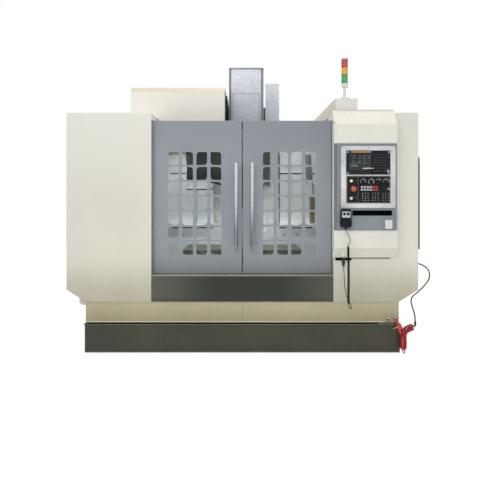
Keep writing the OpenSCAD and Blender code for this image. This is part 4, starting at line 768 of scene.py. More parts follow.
for name, at, aim, size, power in (
    ("front_light", (-1.6, -6.4, 4.6), (0, -0.8, 1.3), (5, 3), 118),
    ("top_light", (0.6, -1, 6.4), (0, -0.5, 1.2), (5, 4), 170),
    ("side_light", (6, -3.2, 3), (0.6, -0.6, 1.2), (3, 3), 26),
    ("back_light", (-1.5, 6.5, 4.2), (0, 0.5, 1.4), (5, 3), 90),
    ("work_light_left", (-0.72, -0.96, 1.89), (-0.68, -0.6, 1.2), (0.25, 0.08), 4.8),
    ("low_work_light", (0, -0.05, 1.07), (0, 0.29, 0.96), (1.6, 0.05), 0.8),
    ("work_light", (0, -0.95, 1.89), (-0.05, -0.5, 1), (0.8, 0.06), 5.4),
):
    data = bpy.data.lights.new(name, "AREA")
    data.shape, data.size, data.size_y, data.energy = "RECTANGLE", *size, power
    lamp = placed(name, data)
    lamp.location = at
    lamp.visible_camera = False
    lamp.rotation_euler = (Vector(aim) - Vector(at)).to_track_quat("-Z", "Y").to_euler()

world = bpy.data.worlds.new("studio")
scene.world = world
world.use_nodes = True
sky = world.node_tree
back = sky.nodes["Background"]
path = sky.nodes.new("ShaderNodeLightPath")
seen = Value(sky, path.outputs["Is Camera Ray"]) + Value(sky, path.outputs["Is Transmission Ray"])
plug(sky, back.inputs["Strength"], seen * 0.5 + 0.5)
back.inputs["Color"].default_value = (1, 1, 1, 1)

# The floor glows for what the camera, a gloss or a glass sees
f = Finish("studio_floor")
glow = f.node("ShaderNodeEmission", values={"Color": (1, 1, 1), "Strength": 1.2})
f.done(Base_Color=f.mix(f.noise(3, 3), "F6F6F5", "FAFAF9"), Roughness=0.7)
direct, glossy, through = (
    f.node("ShaderNodeLightPath", out=f"Is {kind} Ray")
    for kind in ("Camera", "Glossy", "Transmission")
)
blend = f.tree.nodes.new("ShaderNodeMixShader")
plug(f.tree, blend.inputs[0], f.span(direct + glossy + through, 0, 1) * 0.72)
f.tree.links.new(f.shader.outputs[0], blend.inputs[1])
f.tree.links.new(glow.socket, blend.inputs[2])
f.tree.links.new(blend.outputs[0], f.tree.nodes["Material Output"].inputs[0])
FAR = 4e5
ground = Shape().plate([(-FAR, -FAR), (FAR, -FAR), (FAR, FAR), (-FAR, FAR)], -20, facing="Z")
ground.made("floor", f.material)


# ---- cords
def along(points, step=6):
    """Rounded line through points, as points step apart."""
    line = _rounder(_rounder([Vector(p) for p in points]))
    out, left = [line[0]], step
    for a, b in zip(line, line[1:]):
        gap = (b - a).length
        while left <= gap:
            out.append(a.lerp(b, left / gap))
            left += step
        left -= gap
    return out


def wound(line, radius, pitch, ease=3, per_turn=16):
    """Helix round a line, growing out of it and back into it over some turns."""
    lengths = [0]
    for a, b in zip(line, line[1:]):
        lengths.append(lengths[-1] + (b - a).length)
    total = lengths[-1]
    count = int(total / pitch * per_turn)
    points, side, at, turn = [], None, 0, 0
    for k in range(count + 1):
        s = total * k / count
        while at < len(lengths) - 2 and lengths[at + 1] < s:
            at += 1
        p = line[at].lerp(line[at + 1], (s - lengths[at]) / (lengths[at + 1] - lengths[at]))
        ahead = (line[min(at + 2, len(line) - 1)] - line[max(at - 1, 0)]).normalized()
        side = side or ahead.orthogonal().normalized()
        side = (side - ahead * side.dot(ahead)).normalized()
        grow = min(1, s / (ease * pitch), (total - s) / (ease * pitch))
        grow = grow * grow * (3 - 2 * grow)
        turn += tau / per_turn * grow
        wide = side * cos(turn) + ahead.cross(side) * sin(turn)
        points.append(p + wide * radius * grow)
    return points


def cord_curve(name, points, d, material):
    """Curve of one open spline through points, as thick as the cord."""
    data = bpy.data.curves.new(name, "CURVE")
    data.dimensions, data.bevel_depth, data.bevel_resolution = "3D", d / 2 * MM, 3
    data.use_fill_caps, data.resolution_u = True, 2
    spline = data.splines.new("POLY")
    spline.points.add(len(points) - 1)
    for knot, p in zip(spline.points, points):
        knot.co = (*(p * MM), 1)
    spline.use_smooth = True
    data.materials.append(material)
    piece = placed(name, data)
    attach(piece, "machine")
    return piece


def spaced(points, least):
    """The points without those that crowd the one before; both ends stay."""
    kept = [points[0]]
    for p in points[1:]:
        if (p - kept[-1]).length >= least:
            kept.append(p)
    kept[-1] = points[-1]
    return kept


def run_of(points):
    """Length of a line of points, in metres."""
    return sum((b - a).length for a, b in zip(points, points[1:])) * MM


LEAD_TOP = [
    (912, -1320, 1140), (916, -1321, 1120), (926, -1322, 1098), (940, -1322, 1076),
    (950, -1320, 1056), (951, -1318, 1036), (944, -1315, 1018), (937, -1312, 1006),
]
LEAD_CURL = [
    (934, -1310, 996), (935, -1309, 930), (937, -1308, 860), (938, -1307, 790),
    (939, -1306, 720), (939, -1305, 650), (938, -1303, 590), (938, -1302, 530),
    (939, -1301, 495), (940, -1300, 466),
]
LEAD_BACK = [
    (942, -1298, 454), (948, -1294, 442), (958, -1288, 433), (968, -1281, 430),
    (972, -1274, 438), (966, -1268, 456), (954, -1264, 482), (940, -1260, 514),
    (928, -1258, 550), (919, -1256, 590), (914, -1254, 634), (912, -1250, 680),
    (912, -1243, 710), (913, -1230, 738), (914, -1214, 764), (914, -1202, 784), (914, -1196, 800),
]
lead_points = spaced(along(LEAD_TOP) + wound(along(LEAD_CURL), 8.2, 6.6) + along(LEAD_BACK), 1.5)
lead = cord_curve("handwheel_lead", lead_points, 5.8, CABLE)
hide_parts("mpg_cable", "mpg_coil")
run_of(lead_points)

TUBE_RUN = [
    (1622, -884, 790), (1640, -884, 790), (1666, -904, 788), (1696, -930, 782),
    (1722, -958, 770), (1742, -990, 750), (1750, -1024, 722), (1744, -1054, 686),
    (1722, -1078, 648), (1686, -1096, 612), (1642, -1114, 576), (1598, -1132, 544),
    (1560, -1147, 522), (1538, -1160, 498), (1533, -1172, 470), (1537, -1182, 440),
    (1544, -1190, 412), (1552, -1195, 382), (1558, -1198, 352), (1561, -1200, 322),
    (1561, -1202, 292), (1560, -1202, 262),
]
tube_points = along(TUBE_RUN)
joiner = Shape()
joiner.rod((1561, -1202, 300), (1560, -1202, 256), 17, sides=6, soft=1)
joiner.rod((1561, -1202, 290), (1560.5, -1202, 274), 20, sides=24, soft=1)
joiner = joiner.done("hose_joiner", BLACK_OXIDE)
tube = cord_curve("air_tube_run", tube_points, 13, TUBE_BROWN)
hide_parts("air_tube")
run_of(tube_points)

# The hose hangs in its coil, turns round at the foot and runs up to the gun
HOSE_COIL = [
    (1560, -1202, 257), (1545, -1202, 252), (1516, -1202, 243), (1488, -1202, 230),
    (1463, -1202, 212), (1452, -1202, 185), (1451, -1202, 150), (1453, -1202, 105),
    (1452, -1202, 60), (1449, -1202, 28),
]
HOSE_BACK = [
    (1449, -1202, 28), (1450, -1202, 20), (1455, -1202, 14), (1463, -1202, 15), (1467, -1202, 26),
    (1467, -1202, 60), (1467, -1202, 105), (1460, -1202, 150), (1446, -1196, 180),
    (1443, -1191, 195),
]
hose_points = spaced(wound(along(HOSE_COIL), 28, 10.4) + along(HOSE_BACK, 3)[1:], 3)
hose = cord_curve("air_hose_coil", hose_points, 9, HOSE_RED)

# ---- blow gun
HANG = radians(155)
GRIP_TURN = Matrix.Rotation(HANG, 4, "Y")


def gun_point(x, y, z):
    """Point of the hanging gun, from its grip's own axes."""
    c, s = cos(HANG), sin(HANG)
    return (1394 + x * c + z * s, -1190 + y, 300 - x * s + z * c)


def gun_rod(shape, start, end, d, d2=None, sides=24, soft=0):
    """Rod in the gun's own axes, in the plane through its middle."""
    shape.rod(gun_point(start[0], 0, start[1]), gun_point(end[0], 0, end[1]), d, d2, sides, soft)


def gun_box(shape, x0, x1, half_y, z0, z1, soft):
    """Block in the gun's own axes."""
    hx, hz = (x1 - x0) / 2, (z1 - z0) / 2
    cx, cy, cz = gun_point(x0 + hx, 0, z0 + hz)
    shape.box(cx - hx, cx + hx, cy - half_y, cy + half_y, cz - hz, cz + hz, soft, GRIP_TURN, 3)


gun = Shape().tube(arc(1390, -1190, 314.3, 12, 28), 7.6, 10)
gun_rod(gun, (0, 0), (0, 46), 15, 18, 24, 1.5)
gun_box(gun, -20, 20, 13, 40, 102, 6)
gun_rod(gun, (0, 98), (0, 112), 23, 21, 24, 1.5)
gun = gun.done("blow_gun_body", GUN_RED)
gun_metal = Shape()
gun_rod(gun_metal, (18, 52), (46, 52), 10, 8, 20, 1)
gun_rod(gun_metal, (46, 52), (58, 52), 6, 4, 16, 0.5)
gun_box(gun_metal, -26, -21, 6.5, 34, 100, 2)
gun_metal.rod(gun_point(-23, -8, 40), gun_point(-23, 8, 40), 5, sides=14)
gun_rod(gun_metal, (0, 110), (0, 117), 17, sides=6, soft=1)
gun_metal = gun_metal.done("blow_gun_lever", ZINC)
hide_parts("air_gun")
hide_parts("air_coil")
run_of(hose_points)

# ---- guarding, outside
GW, CAB_IN, FRONT, TOP, APRON_Y = 1602, 830, -1160, 2190, -1150.1

# Painted shade: the cabinet flank beside each door and its return are dark grey.
edges = both(CAB_IN, CAB_IN + 3, FRONT + 1, -1077, 713, 2132, 0.8)
edges += both(CAB_IN + 2, CAB_IN + 12, -1081, -1077, 713, 2132, 0.8)
blocks("door_edge_returns_painted_shade", DARK_COAT, *edges)
blocks("door_brush_seals", RUBBER, *both(CAB_IN - 3, CAB_IN + 9, -1077, -1071.5, 714, 2131, 1.5))
blocks(
    "sill_drip_rail", paint("drip_rail_coat", "83877B", 0.45, 0.06, 0.1),
    (-828, 828, -1162.5, -1160.2, 700, 713, 0.6), (-828, 828, -1162.5, -1072, 711.2, 713.4, 0.6),
    (-849, 849, -1073.2, -1070.6, 717.6, 722, 0.6),
)

# Sheet seams of the apron and the tank
blocks(
    "sheet_seams", BLACK_OXIDE, (-0.8, 0.8, -1150.5, APRON_Y, 280, 468),
    (-1430, 1430, -1151.2, APRON_Y, 276.5, 279.5),
    *((x - 0.6, x + 0.6, -1165.5, -1165.1, 12, 256) for x in (-700, 710)),
)
scratch = Shape()
scratch.tube([(-14, -1150.4, 442), (2, -1150.4, 455), (14, -1150.4, 469)], 2, 6)
scratch.tube([(-30, -1150.4, 428), (-18, -1150.4, 446), (-2, -1150.4, 462)], 1.2, 6)
scratch.done("apron_scratch", ZINC)
blocks(
    "tank_rim_bead", metal("tank_rim_steel", "8E8C7C", 0.42, (6, 6, 1), 0.1, 0.2, 0.6),
    (-1442.5, 1442.5, -1171.2, -1168.8, 262.5, 266.8, 0.9),
    (-1432, 1432, -1166.2, -1165.1, 8.2, 16, 0.4),
)

# Screws and joints of the side cabinets, the raceway, the magazine cover and the roof
RACE_Y, COVER_X = (-1090, -820, -780, -420, -380, -20, 20, 330), range(-1060, -259, 200)
screws = Shape()
screws.screws((-1230, 1230), range(-1120, 361, 185), TOP, UP, 12, 2.4)
screws.screws(GW, (-1135, 375), range(640, 2151, 250), RIGHT, 11, 2.2)
screws.screws(1051, RACE_Y, 2310, RIGHT, 9, 2)
screws.screws((865, 1040), RACE_Y, 2322, UP, 9, 2)
screws.screws(COVER_X, 200, 2490, AFT, 9, 2)
screws.screws(COVER_X, (-690, -250, 180), 2507, UP, 9, 2)
screws.screws(-1097, (-740, -300, 170), (2230, 2340, 2430), LEFT, 9, 2)
screws.done("cover_screws", ZINC)
blocks(
    "panel_joints", DARK_COAT, *((GW + 0.1, GW + 0.5, y - 0.8, y + 0.8, z0, z1)
      for y in (-640, -120) for z0, z1 in ((582, 946), (1745, 2186))),
    *both(846, 1600, -480.8, -479.2, TOP + 0.1, TOP + 0.5),
    *((x - 0.7, x + 0.7, -706, 196, 2507.1, 2507.5) for x in (-780, -480)),
)

eyes = Shape()
for x, y in product((-1180, 1180), (-420, 240)):
    eyes.rod((x, y, TOP), (x, y, TOP + 8), 34, sides=28, soft=1.5)
    eyes.tube(arc(x, y, TOP + 24, 15, 24), 8, 10)
eyes.done("lifting_eyes", BLACK_OXIDE)

# Rubber of the right side window, its frame screws and the air coupler
SIDE_X = 1617
gasket = Shape().rim((-896, 981, -4, 1710), 33, 12, 24, 1.8, (SIDE_X, 0, 0), "X")
gasket.done("side_window_gasket", RUBBER)
rim_screws = Shape().screws(SIDE_X, range(-910, 11, 230), (968, 1724), RIGHT, 9, 2, "cap")
rim_screws.screws(SIDE_X, (-910, 10), (1160, 1346, 1530), RIGHT, 9, 2, "cap")
rim_screws.done("side_window_screws", ZINC)
coupler = Shape().rod((1614, -884, 790), (1626, -884, 790), 22, sides=6, soft=1.2)
coupler.rod((1622, -884, 790), (1634, -884, 790), 16, 13, 20, 0.8)
coupler.done("air_coupler", BRASS)

# ---- doors
DOOR_Y, HOLE_W, HOLE_H, PITCH_X, PITCH_Z, FIRST_X, FIRST_Z = -1070, 102, 123, 131, 138.5, 190, 1841
for s, body in zip(SIDES, ("left_door", "right_door")):
    rims = Shape()
    for i, j in product(range(4), range(7)):
        x, z = FIRST_X + i * PITCH_X, FIRST_Z - j * PITCH_Z
        if s < 0:
            x = -x - HOLE_W - 4
        radii = (6, 32, 6, 32) if (i % 2 == 0) == (s > 0) else (32, 6, 32, 6)
        rims.rim((x - 2.4, z - HOLE_H - 2.4, x + HOLE_W + 2.4, z + 2.4), [r + 2.4 for r in radii],
                 3, radii, -1.1, (0, DOOR_Y, 0), steps=4)
    rims.done(body + "_opening_rims", DOOR_EDGE, body)
    blocks(body + "_meeting_strip", RUBBER, (s * 2.2, s * 5.2, -1071.2, -1034, 719, 2127, 0.9),
           body=body)
    blocks(
        body + "_edge_folds", DOOR_EDGE, (s * 3, s * 849, -1071.4, -1031, 2125.5, 2130.4, 1),
        (s * 3, s * 849, -1071.6, -1069.8, 717.5, 727, 0.6), body=body,
    )
    blocks(
        body + "_hangers", ZINC,
        *((s * (x - 55), s * (x + 55), -1033.5, -1030.5, 2060, 2124, 1) for x in (180, 690)),
        body=body,
    )

BAR_Y, BAR_END = -1130, [(0, 0), (9, 0.8), (13, 3.5), (15, 7.5), (15, 10)]
for name, body, x in (("left_handle", "left_door", -58), ("right_handle", "right_door", 91)):
    profile = [(r, 934 + h) for r, h in BAR_END] + [(r, 1737 - h) for r, h in BAR_END[::-1]]
    bar = Shape().turned(profile, (x, BAR_Y, 0), sides=36)
    for z in (1000, 1675):
        bar.rod((x, BAR_Y, z), (x, -1072, z), 17, sides=28)
        bar.rod((x, -1077, z), (x, -1070.2, z), 36, sides=32, soft=2)
    bar.done(name + "_bar", BAR, body, stands_for=[name])
    base = Shape()
    base.plate(frame_of(x - 24, 936, x + 24, 968, 4), -2, (0, DOOR_Y - 0.1, 0), soft=0.7)
    base.done(name + "_foot_plate", DOOR_EDGE, body)

# ---- pendant
PLATE_Y, UNIT_Y, FACE = -1280, -1286, -1289
UX, DISP, OPER = 923, 1624, 1368
ON_PLATE, ON_FACE = (0, PLATE_Y - 0.1, 0), (0, FACE - 0.1, 0)

blocks(
    "pocket_lining", RUBBER, (969.5, 1334.5, -1200.5, -1198, 1151.5, 1303.5),
    (969.5, 1334.5, -1273, -1200.5, 1151.5, 1153), (969.5, 1334.5, -1273, -1200.5, 1302, 1303.5),
    (969.5, 971, -1273, -1200.5, 1153, 1302), (1333, 1334.5, -1273, -1200.5, 1153, 1302),
)
slot_rim = Shape().rim((972, 1253, 1334, 1309), 5, 4.5, 3, -1.6, ON_PLATE)
slot_rim.done("pocket_rim", PANEL_GREY)
port = Shape().plate(frame_of(1262, 1141, 1328, 1221, 10), -9, (0, -1294.2, 0), soft=3)
port.rod((1276, -1300, 1146), (1276, -1300, 1216), 22, sides=28, soft=3)
port.done("port_cover", BEZEL)
bevel = Shape().rim((846, 1125, 1376, 1902), 6, 5, 4, -1.4, ON_PLATE)
bevel.done("panel_edge", DOOR_EDGE)
fasteners = Shape().screws((862, 1364), PLATE_Y, (1310, 1600, 1886), FORE, 7.5, 1.8, "cap")
fasteners.screw((1364, PLATE_Y, 1142), FORE, 7.5, 1.8, "cap")
fasteners.screws((886, 1120, 1350), UNIT_Y, (1338, 1866), FORE, 6.5, 1.4)
fasteners.screws((884, 1352), UNIT_Y, (1345, 1480, 1601, 1740, 1858), FORE, 5.5, 1.2)
fasteners.done("pendant_screws", ZINC)

bezel = Shape().rim((UX - 2, DISP - 2, UX + 390, DISP + 212), 6, 5, 4, -1.6, (0, FACE + 1.4, 0))
bezel.rim((UX + 17, DISP + 27, UX + 227, DISP + 189), 5, 5, 3, -2.4, ON_FACE, soft=0.8)
bezel.done("display_surround", UNIT_BLACK)
blocks(
    "display_screen", SCREEN,
    (UX + 22.2, UX + 221.8, FACE - 0.4, FACE + 2.6, DISP + 32.2, DISP + 183.8),
)
header = Shape().plate(frame_of(UX + 40, DISP + 193, UX + 222, DISP + 205, 2), -0.6, ON_FACE)
header.done("display_header_strip", moulded("strip_orange", "C08B4A", 0.4, 280, 0.05, 0.05))
corners = Shape()
for x, z in product((UX + 4, UX + 368), (DISP + 5, DISP + 190)):
    corners.plate(frame_of(x, z, x + 17, z + 14, 2), -0.7, ON_FACE)
corners.done("display_corner_marks", moulded("corner_blue_pale", "7FA9C9", 0.4, 280, 0.05, 0.05))
border = Shape().rim((UX + 4, OPER + 4, UX + 386, OPER + 239), 5, 3, 3, -0.8, ON_FACE)
border.box(UX + 101.2, UX + 103, FACE - 0.9, FACE - 0.1, OPER + 9, OPER + 234)
border.done("operator_panel_lines", moulded("panel_line", "8C8A84", 0.44, 300, 0.05, 0.05))
blocks(
    "bezel_side_lip", BEZEL, (UX + 390, UX + 402, FACE - 1.6, FACE + 1.4, OPER - 3, DISP + 213, 0.8)
)


def caps(block, shape_of):
    """Bevelled caps over a block of keys; shape_of gives the shape for a column and row."""
    x0, z0, nx, nz, px, pz, kw, kh = block
    for i, j in product(range(nx), range(nz)):
        x, z = x0 + i * px - 0.6, z0 + j * pz - 0.6
        shape_of(i, j).box(x, x + kw + 1.2, FACE - 4.4, FACE - 0.2, z, z + kh + 1.2, 1.5)


def strokes(shape, block, seed, tall=1.2):
    """Small plain strokes on the caps, which say nothing."""
    x0, z0, nx, nz, px, pz, kw, kh = block
    draw = random.Random(seed)
    for i, j in product(range(nx), range(nz)):
        x, z = x0 + i * px + kw / 2, z0 + j * pz + kh / 2
        w = draw.uniform(1.6, 3.6)
        shape.box(x - w, x + w, FACE - 4.75, FACE - 4.2, z - tall, z + tall)
    return shape


SIDE_KEYS = (UX + 240, DISP + 22, 6, 7, 24, 24, 18, 16)
SOFT_KEYS = (UX + 26, DISP + 8, 7, 1, 28, 24, 20, 14)
ROW_KEYS = (UX + 128, OPER + 112, 9, 2, 26, 24, 20, 16)
dark, pale, red, marks, dim = (Shape() for _ in range(5))
caps(SIDE_KEYS, lambda i, j: pale if (i, j) == (5, 0) else dark)
caps(SOFT_KEYS, lambda i, j: dark)
caps(ROW_KEYS, lambda i, j: pale if i < 4 else red if i < 6 else dark)
strokes(dim, SIDE_KEYS, 3)
strokes(dim, SOFT_KEYS, 4)
for k in range(3):
    block = (UX + 134 + 90 * k, OPER + 18, 3, 4, 24, 21, 18, 15)
    caps(block, lambda i, j: dark)
    strokes(marks, block, 5 + k, tall=2.2)
dark.done("key_caps_dark", KEY_DARK)
pale.done("key_caps_pale", KEY_PALE)
red.done("key_caps_red", KEY_RED)
strokes(Shape(), ROW_KEYS, 9).done("row_key_marks", UNIT_BLACK)

# Plain strokes of the picture on the display, which say nothing
draw = random.Random(21)
for x, z, w, h in (
    (978, 1770, 24, 26), (1028, 1770, 26, 24), (1076, 1768, 22, 28), (1118, 1768, 24, 28),
    (976, 1728, 28, 26), (1024, 1728, 34, 24), (1072, 1722, 26, 30),
):
    dim.tube([(x + w * draw.random(), FACE - 0.8, z + h * k / 4) for k in range(5)], 1.6, 6)
    dim.box(x, x + w * 0.6, FACE - 0.9, FACE - 0.4, z - 2.4, z - 0.8)
for x in range(964, 1017, 13):
    dim.box(x, x + 9, FACE - 0.9, FACE - 0.4, 1694, 1697)
    dim.box(x, x + 2, FACE - 0.9, FACE - 0.4, 1698, 1718)
for x in range(1070, 1159, 11):
    z = 1672 + 3 * draw.random()
    marks.box(x, x + 8, FACE - 0.9, FACE - 0.4, z, z + 6 + 5 * draw.random())
dim.done("dim_marks", KEY_MARK)

# Rotary switches: scale strokes on the panel, fluted grips on the bodies
KNOB_Z = OPER + 193
for name, dx, count, sweep in (
    ("mode_knob", 150, 9, 240), ("feed_knob", 221, 15, 290),
    ("rapid_knob", 287, 4, 120), ("spindle_speed_knob", 353, 8, 210),
):
    x, start, turn = UX + dx, radians(90 + sweep / 2), -radians(sweep)
    near, far = (arc(x, FACE - 0.35, KNOB_Z, r, count - 1, start, turn) for r in (23.5, 27))
    marks.rods(near, far, 1.5)
    line = arc(x, FACE - 0.3, KNOB_Z, 23.5, 24, start, turn)
    marks.tube(line, 3.4 if name == "feed_knob" else 2.4, 6)
    grip, at = Shape(), (x, FACE, KNOB_Z)
    grip.turned([(0, 0.3), (20, 0.3), (20, 5), (18.6, 7.2), (14.5, 8.8), (0, 8.8)], at, FORE, 40)
    grip.turned([(0, 8), (13.6, 8), (13.2, 21), (12.2, 22.6), (0, 22.6)], at, FORE, 36)
    near, far = arc(x, FACE - 8.4, KNOB_Z, 13.2, 12), arc(x, FACE - 21.4, KNOB_Z, 12.6, 12)
    grip.rods(near[1:], far[1:], 3.2, 2.6, 8)
    grip.box(x - 4, x + 4, FACE - 30, FACE - 22, KNOB_Z - 13.2, KNOB_Z + 13.2, 1.8, segments=3)
    grip.done(name + "_grip", KNOB, name, stands_for=[name])
    blocks(
        name + "_pointer", WHITE,
        (x - 1.1, x + 1.1, FACE - 30.5, FACE - 29.6, KNOB_Z + 1, KNOB_Z + 12.6, 0.3),
        (x - 1, x + 1, FACE - 9.2, FACE - 8.5, KNOB_Z + 14, KNOB_Z + 18.6, 0.2), body=name,
    )
marks.done("panel_marks", WHITE)

STOP_X, STOP_Z, BUTTON_X = UX + 62, OPER + 128, UX + 42
stop_at = (STOP_X, FACE, STOP_Z)
stop = Shape().turned([
    (0, 27), (9, 26.8), (16, 25.6), (20.4, 23.2), (22, 20), (22, 17.4), (20.6, 15),
    (12, 13.8), (12, 1), (0, 1),
], stop_at, FORE, 48)
stop.done("stop_mushroom", STOP_RED, "e_stop", stands_for=["e_stop"])
ring = [(12.6, 0.1), (24, 0.1), (25.6, 1.6), (24.6, 3.6), (19, 6.4), (12.6, 6.4), (12.6, 0.1)]
collar = Shape().turned(ring, stop_at, FORE, 40)
collar.done("stop_collar", moulded("stop_yellow", "D8B23C", 0.4, 260, 0.05, 0.1))
turn_marks = Shape()
for k in range(3):
    line = arc(STOP_X, FACE - 26.4, STOP_Z, 15, 6, tau * k / 3, 0.96)
    turn_marks.tube([(x, y + 0.025 * abs(j - 3), z) for j, (x, y, z) in enumerate(line)], 1.4, 6)
turn_marks.done("stop_turn_marks", WHITE, "e_stop")
CAP = [(0, 7.2), (9.6, 7.4), (12.2, 8.6), (13, 7.6), (13, 1), (0, 1)]
COLLAR = [(13.4, 0.1), (18, 0.1), (18, 1.6), (16.6, 3.4), (13.4, 3.4), (13.4, 0.1)]
for name, z in (("power_button", OPER + 198), ("start_button", OPER + 44)):
    cap = Shape().turned(CAP, (BUTTON_X, FACE, z), FORE, 36)
    cap.done(name + "_cap", WHITE, name, stands_for=[name])
    Shape().turned(COLLAR, (BUTTON_X, FACE, z), FORE, 36).done(name + "_collar", KNOB)
led = Shape()
for dx, dz in ((341, 138), (86, 44), (86, 60), (86, 198)):
    at = (UX + dx, FACE, OPER + dz)
    led.turned([(0, 3.2), (2.4, 2.6), (3.4, 0.8), (3.4, 0.1), (0, 0.1)], at, FORE, 16)
led.done("signal_lamps", LENS_GREEN)
lock, at = Shape(), (UX + 374, FACE, OPER + 128)
lock.turned([(0, 4), (8, 4), (10, 3), (10.6, 0.2), (0, 0.2)], at, FORE, 28)
lock.box(UX + 372.8, UX + 375.2, FACE - 5, FACE - 3.8, OPER + 123, OPER + 133, 0.2)
lock.done("key_switch", ZINC)

# ---- handwheel box
CASE_Y, WHEEL_X, WHEEL_Z, SELECT_Z = -1338, 912, 1201, 1275
face = Shape().plate(frame_of(879, 1245, 945, 1294, 6), -1.2, (0, CASE_Y, 0), soft=0.5)
face.done("handwheel_face", WHITE)
collars = Shape()
for x in (895, 929):
    profile = [(0, 11.4), (8.6, 11.2), (10.4, 8.4), (12.4, 3), (12.8, 0.2), (0, 0.2)]
    collars.turned(profile, (x, CASE_Y, SELECT_Z), FORE, 28)
    collars.box(x - 2, x + 2, -1352, -1348, SELECT_Z - 10.5, SELECT_Z + 10.5, 0.8)
    for dot_x, y, z in arc(x, -1339.8, SELECT_Z, 14.6, 4, tau / 12, tau / 3):
        collars.box(dot_x - 1, dot_x + 1, y, y + 0.7, z - 1, z + 1)
collars.done("handwheel_selector_collars", KNOB)
blocks(
    "handwheel_grips", RUBBER, (866, 876.6, -1336, -1304, 1160, 1300, 3),
    (947.4, 958, -1336, -1304, 1160, 1300, 3),
    *((864.6, 959.4, -1338.6, -1303, z, z + 4, 1.2) for z in (1180, 1215, 1250)),
)


def wheel_ring(y, r, count):
    """Points round the handwheel's dial."""
    return arc(WHEEL_X, y, WHEEL_Z, r, count)[:-1]


wheel = Shape()
wheel.turned([(20, 7), (30, 7.6), (35.6, 6.6), (37.4, 4.2), (37.4, 0.6), (20, 0.6), (20, 7)],
             (WHEEL_X, CASE_Y, WHEEL_Z), FORE, 48)
wheel.rods(wheel_ring(-1338.8, 37.2, 48), wheel_ring(-1344.4, 37.2, 48), 2.4)
# Partly painted highlight: the dial's rim is a lighter grey metal than the black dial, so its sheen
# shows.
WHEEL_RIM_SHEEN = metal("handwheel_rim_sheen_metal", "5E6064", 0.3, (8, 8, 8), 0.06, 0.1, 0.6)
wheel.done("handwheel_rim", WHEEL_RIM_SHEEN, "mpg_dial")
starts = wheel_ring(-1345.8, 33.5, 50)
starts[::5] = wheel_ring(-1345.8, 31.5, 10)
ticks = Shape().rods(starts, wheel_ring(-1345.6, 35.2, 50), 0.7, sides=5)
ticks.done("handwheel_scale", WHITE, "mpg_dial")

# ---- work area
LINER = metal("liner_bright", "EEF4F3", 0.34, (50, 2, 2), 0.05, 0.04, 0.1)


def painted_shade_skin():
    """Matt near-black painted shade for recesses, gaps and shadowed corners, oily in patches."""
    f = Finish("painted_shade_black")
    film = f.noise(9, 5, 0.7)
    return f.done(
        Base_Color=f.over("0A0A09", film, 0.4, 0.66, "1B1C17"),
        Roughness=f.span(film, 0.3, 0.7, 0.92, 0.78), Normal=f.bump(film, 0.1, 0.0006),
        Specular_IOR_Level=0.08,
    )


SHADE = painted_shade_skin()

WALL_Y = 96.8
# Painted shade: near-black plates on the rear wall and under the magazine stand in for the dark
# tool-change cavity.
cavity_shade = Shape().plate(frame_of(-634, 1612, -337, 1896, 5), -6, (0, 97, 0), soft=1.2)
slant = [(-560, 1898), (-535, 1592), (-380, 1592), (-330, 1562), (-196, 1532), (-196, 1898)]
cavity_shade.plate(slant, -3, (0, -765, 0), soft=0.8)
for k in range(4):
    cavity_shade.box(-516 - 4 * k, -202, -771.5, -768, 1640 + 68 * k, 1646 + 68 * k, 1.2)
cavity_shade.done("tool_cavity_shade", SHADE)
blocks(
    "tool_shutter_frame", LINER,
    (-648, -637, 84, WALL_Y, 1530, 1898, 1), (-648, -334, 82, WALL_Y, 1510, 1528, 1),
)

# Rear wall: dark joint seals, dark strips under the ledges that are painted shadow, and pale strips
# on the ledge noses that are painted highlight.
seals_and_shadows, highlight_strips = Shape(), Shape()
for x0, x1 in ((-826, -650), (430, 826)):
    seals_and_shadows.box(x0, x1, 93.4, WALL_Y, 1680, 1691, 0.8)
    highlight_strips.box(x0, x1, 92.6, WALL_Y, 1692, 1706, 1)
seals_and_shadows.box(-528, -522, 94.6, WALL_Y, 1120, 1508)
seals_and_shadows.box(-640, -334, 92, WALL_Y, 1498, 1509, 0.8)
seals_and_shadows.box(423, 429.5, 92, WALL_Y, 1114, 1896, 0.8)
for x0, x1 in ((-826, -340), (435, 826)):
    seals_and_shadows.box(x0, x1, 286.5, 291, 1046, 1058, 0.8)
for x in (-700, -400, 500, 640):
    seals_and_shadows.rod((x, 284, 968), (x, 291, 968), 17, sides=20)
seals_and_shadows.done("wall_seals_and_painted_shadows", SHADE)
# Painted highlight: pale strips for the lit tops of the ledges.
for x0, x1 in ((-826, -334), (430, 826)):
    highlight_strips.box(x0, x1, 84.5, WALL_Y, 1098, 1111, 1.5)
    highlight_strips.box(x0, x1, 84, WALL_Y, 1112.2, 1116, 0.8)
highlight_strips.done("wall_ledge_painted_highlights", LINER)

# Angles that close the gap between the rear wall and the column
blocks(
    "column_side_closers", LINER,
    (-333, -330.4, 99, 334, 1114, 2186, 0.6), (-333, -287, 331.4, 334, 1114, 2186, 0.6),
    (425.4, 428, 99, 334, 1114, 2186, 0.6), (367, 428, 331.4, 334, 1114, 2186, 0.6),
)

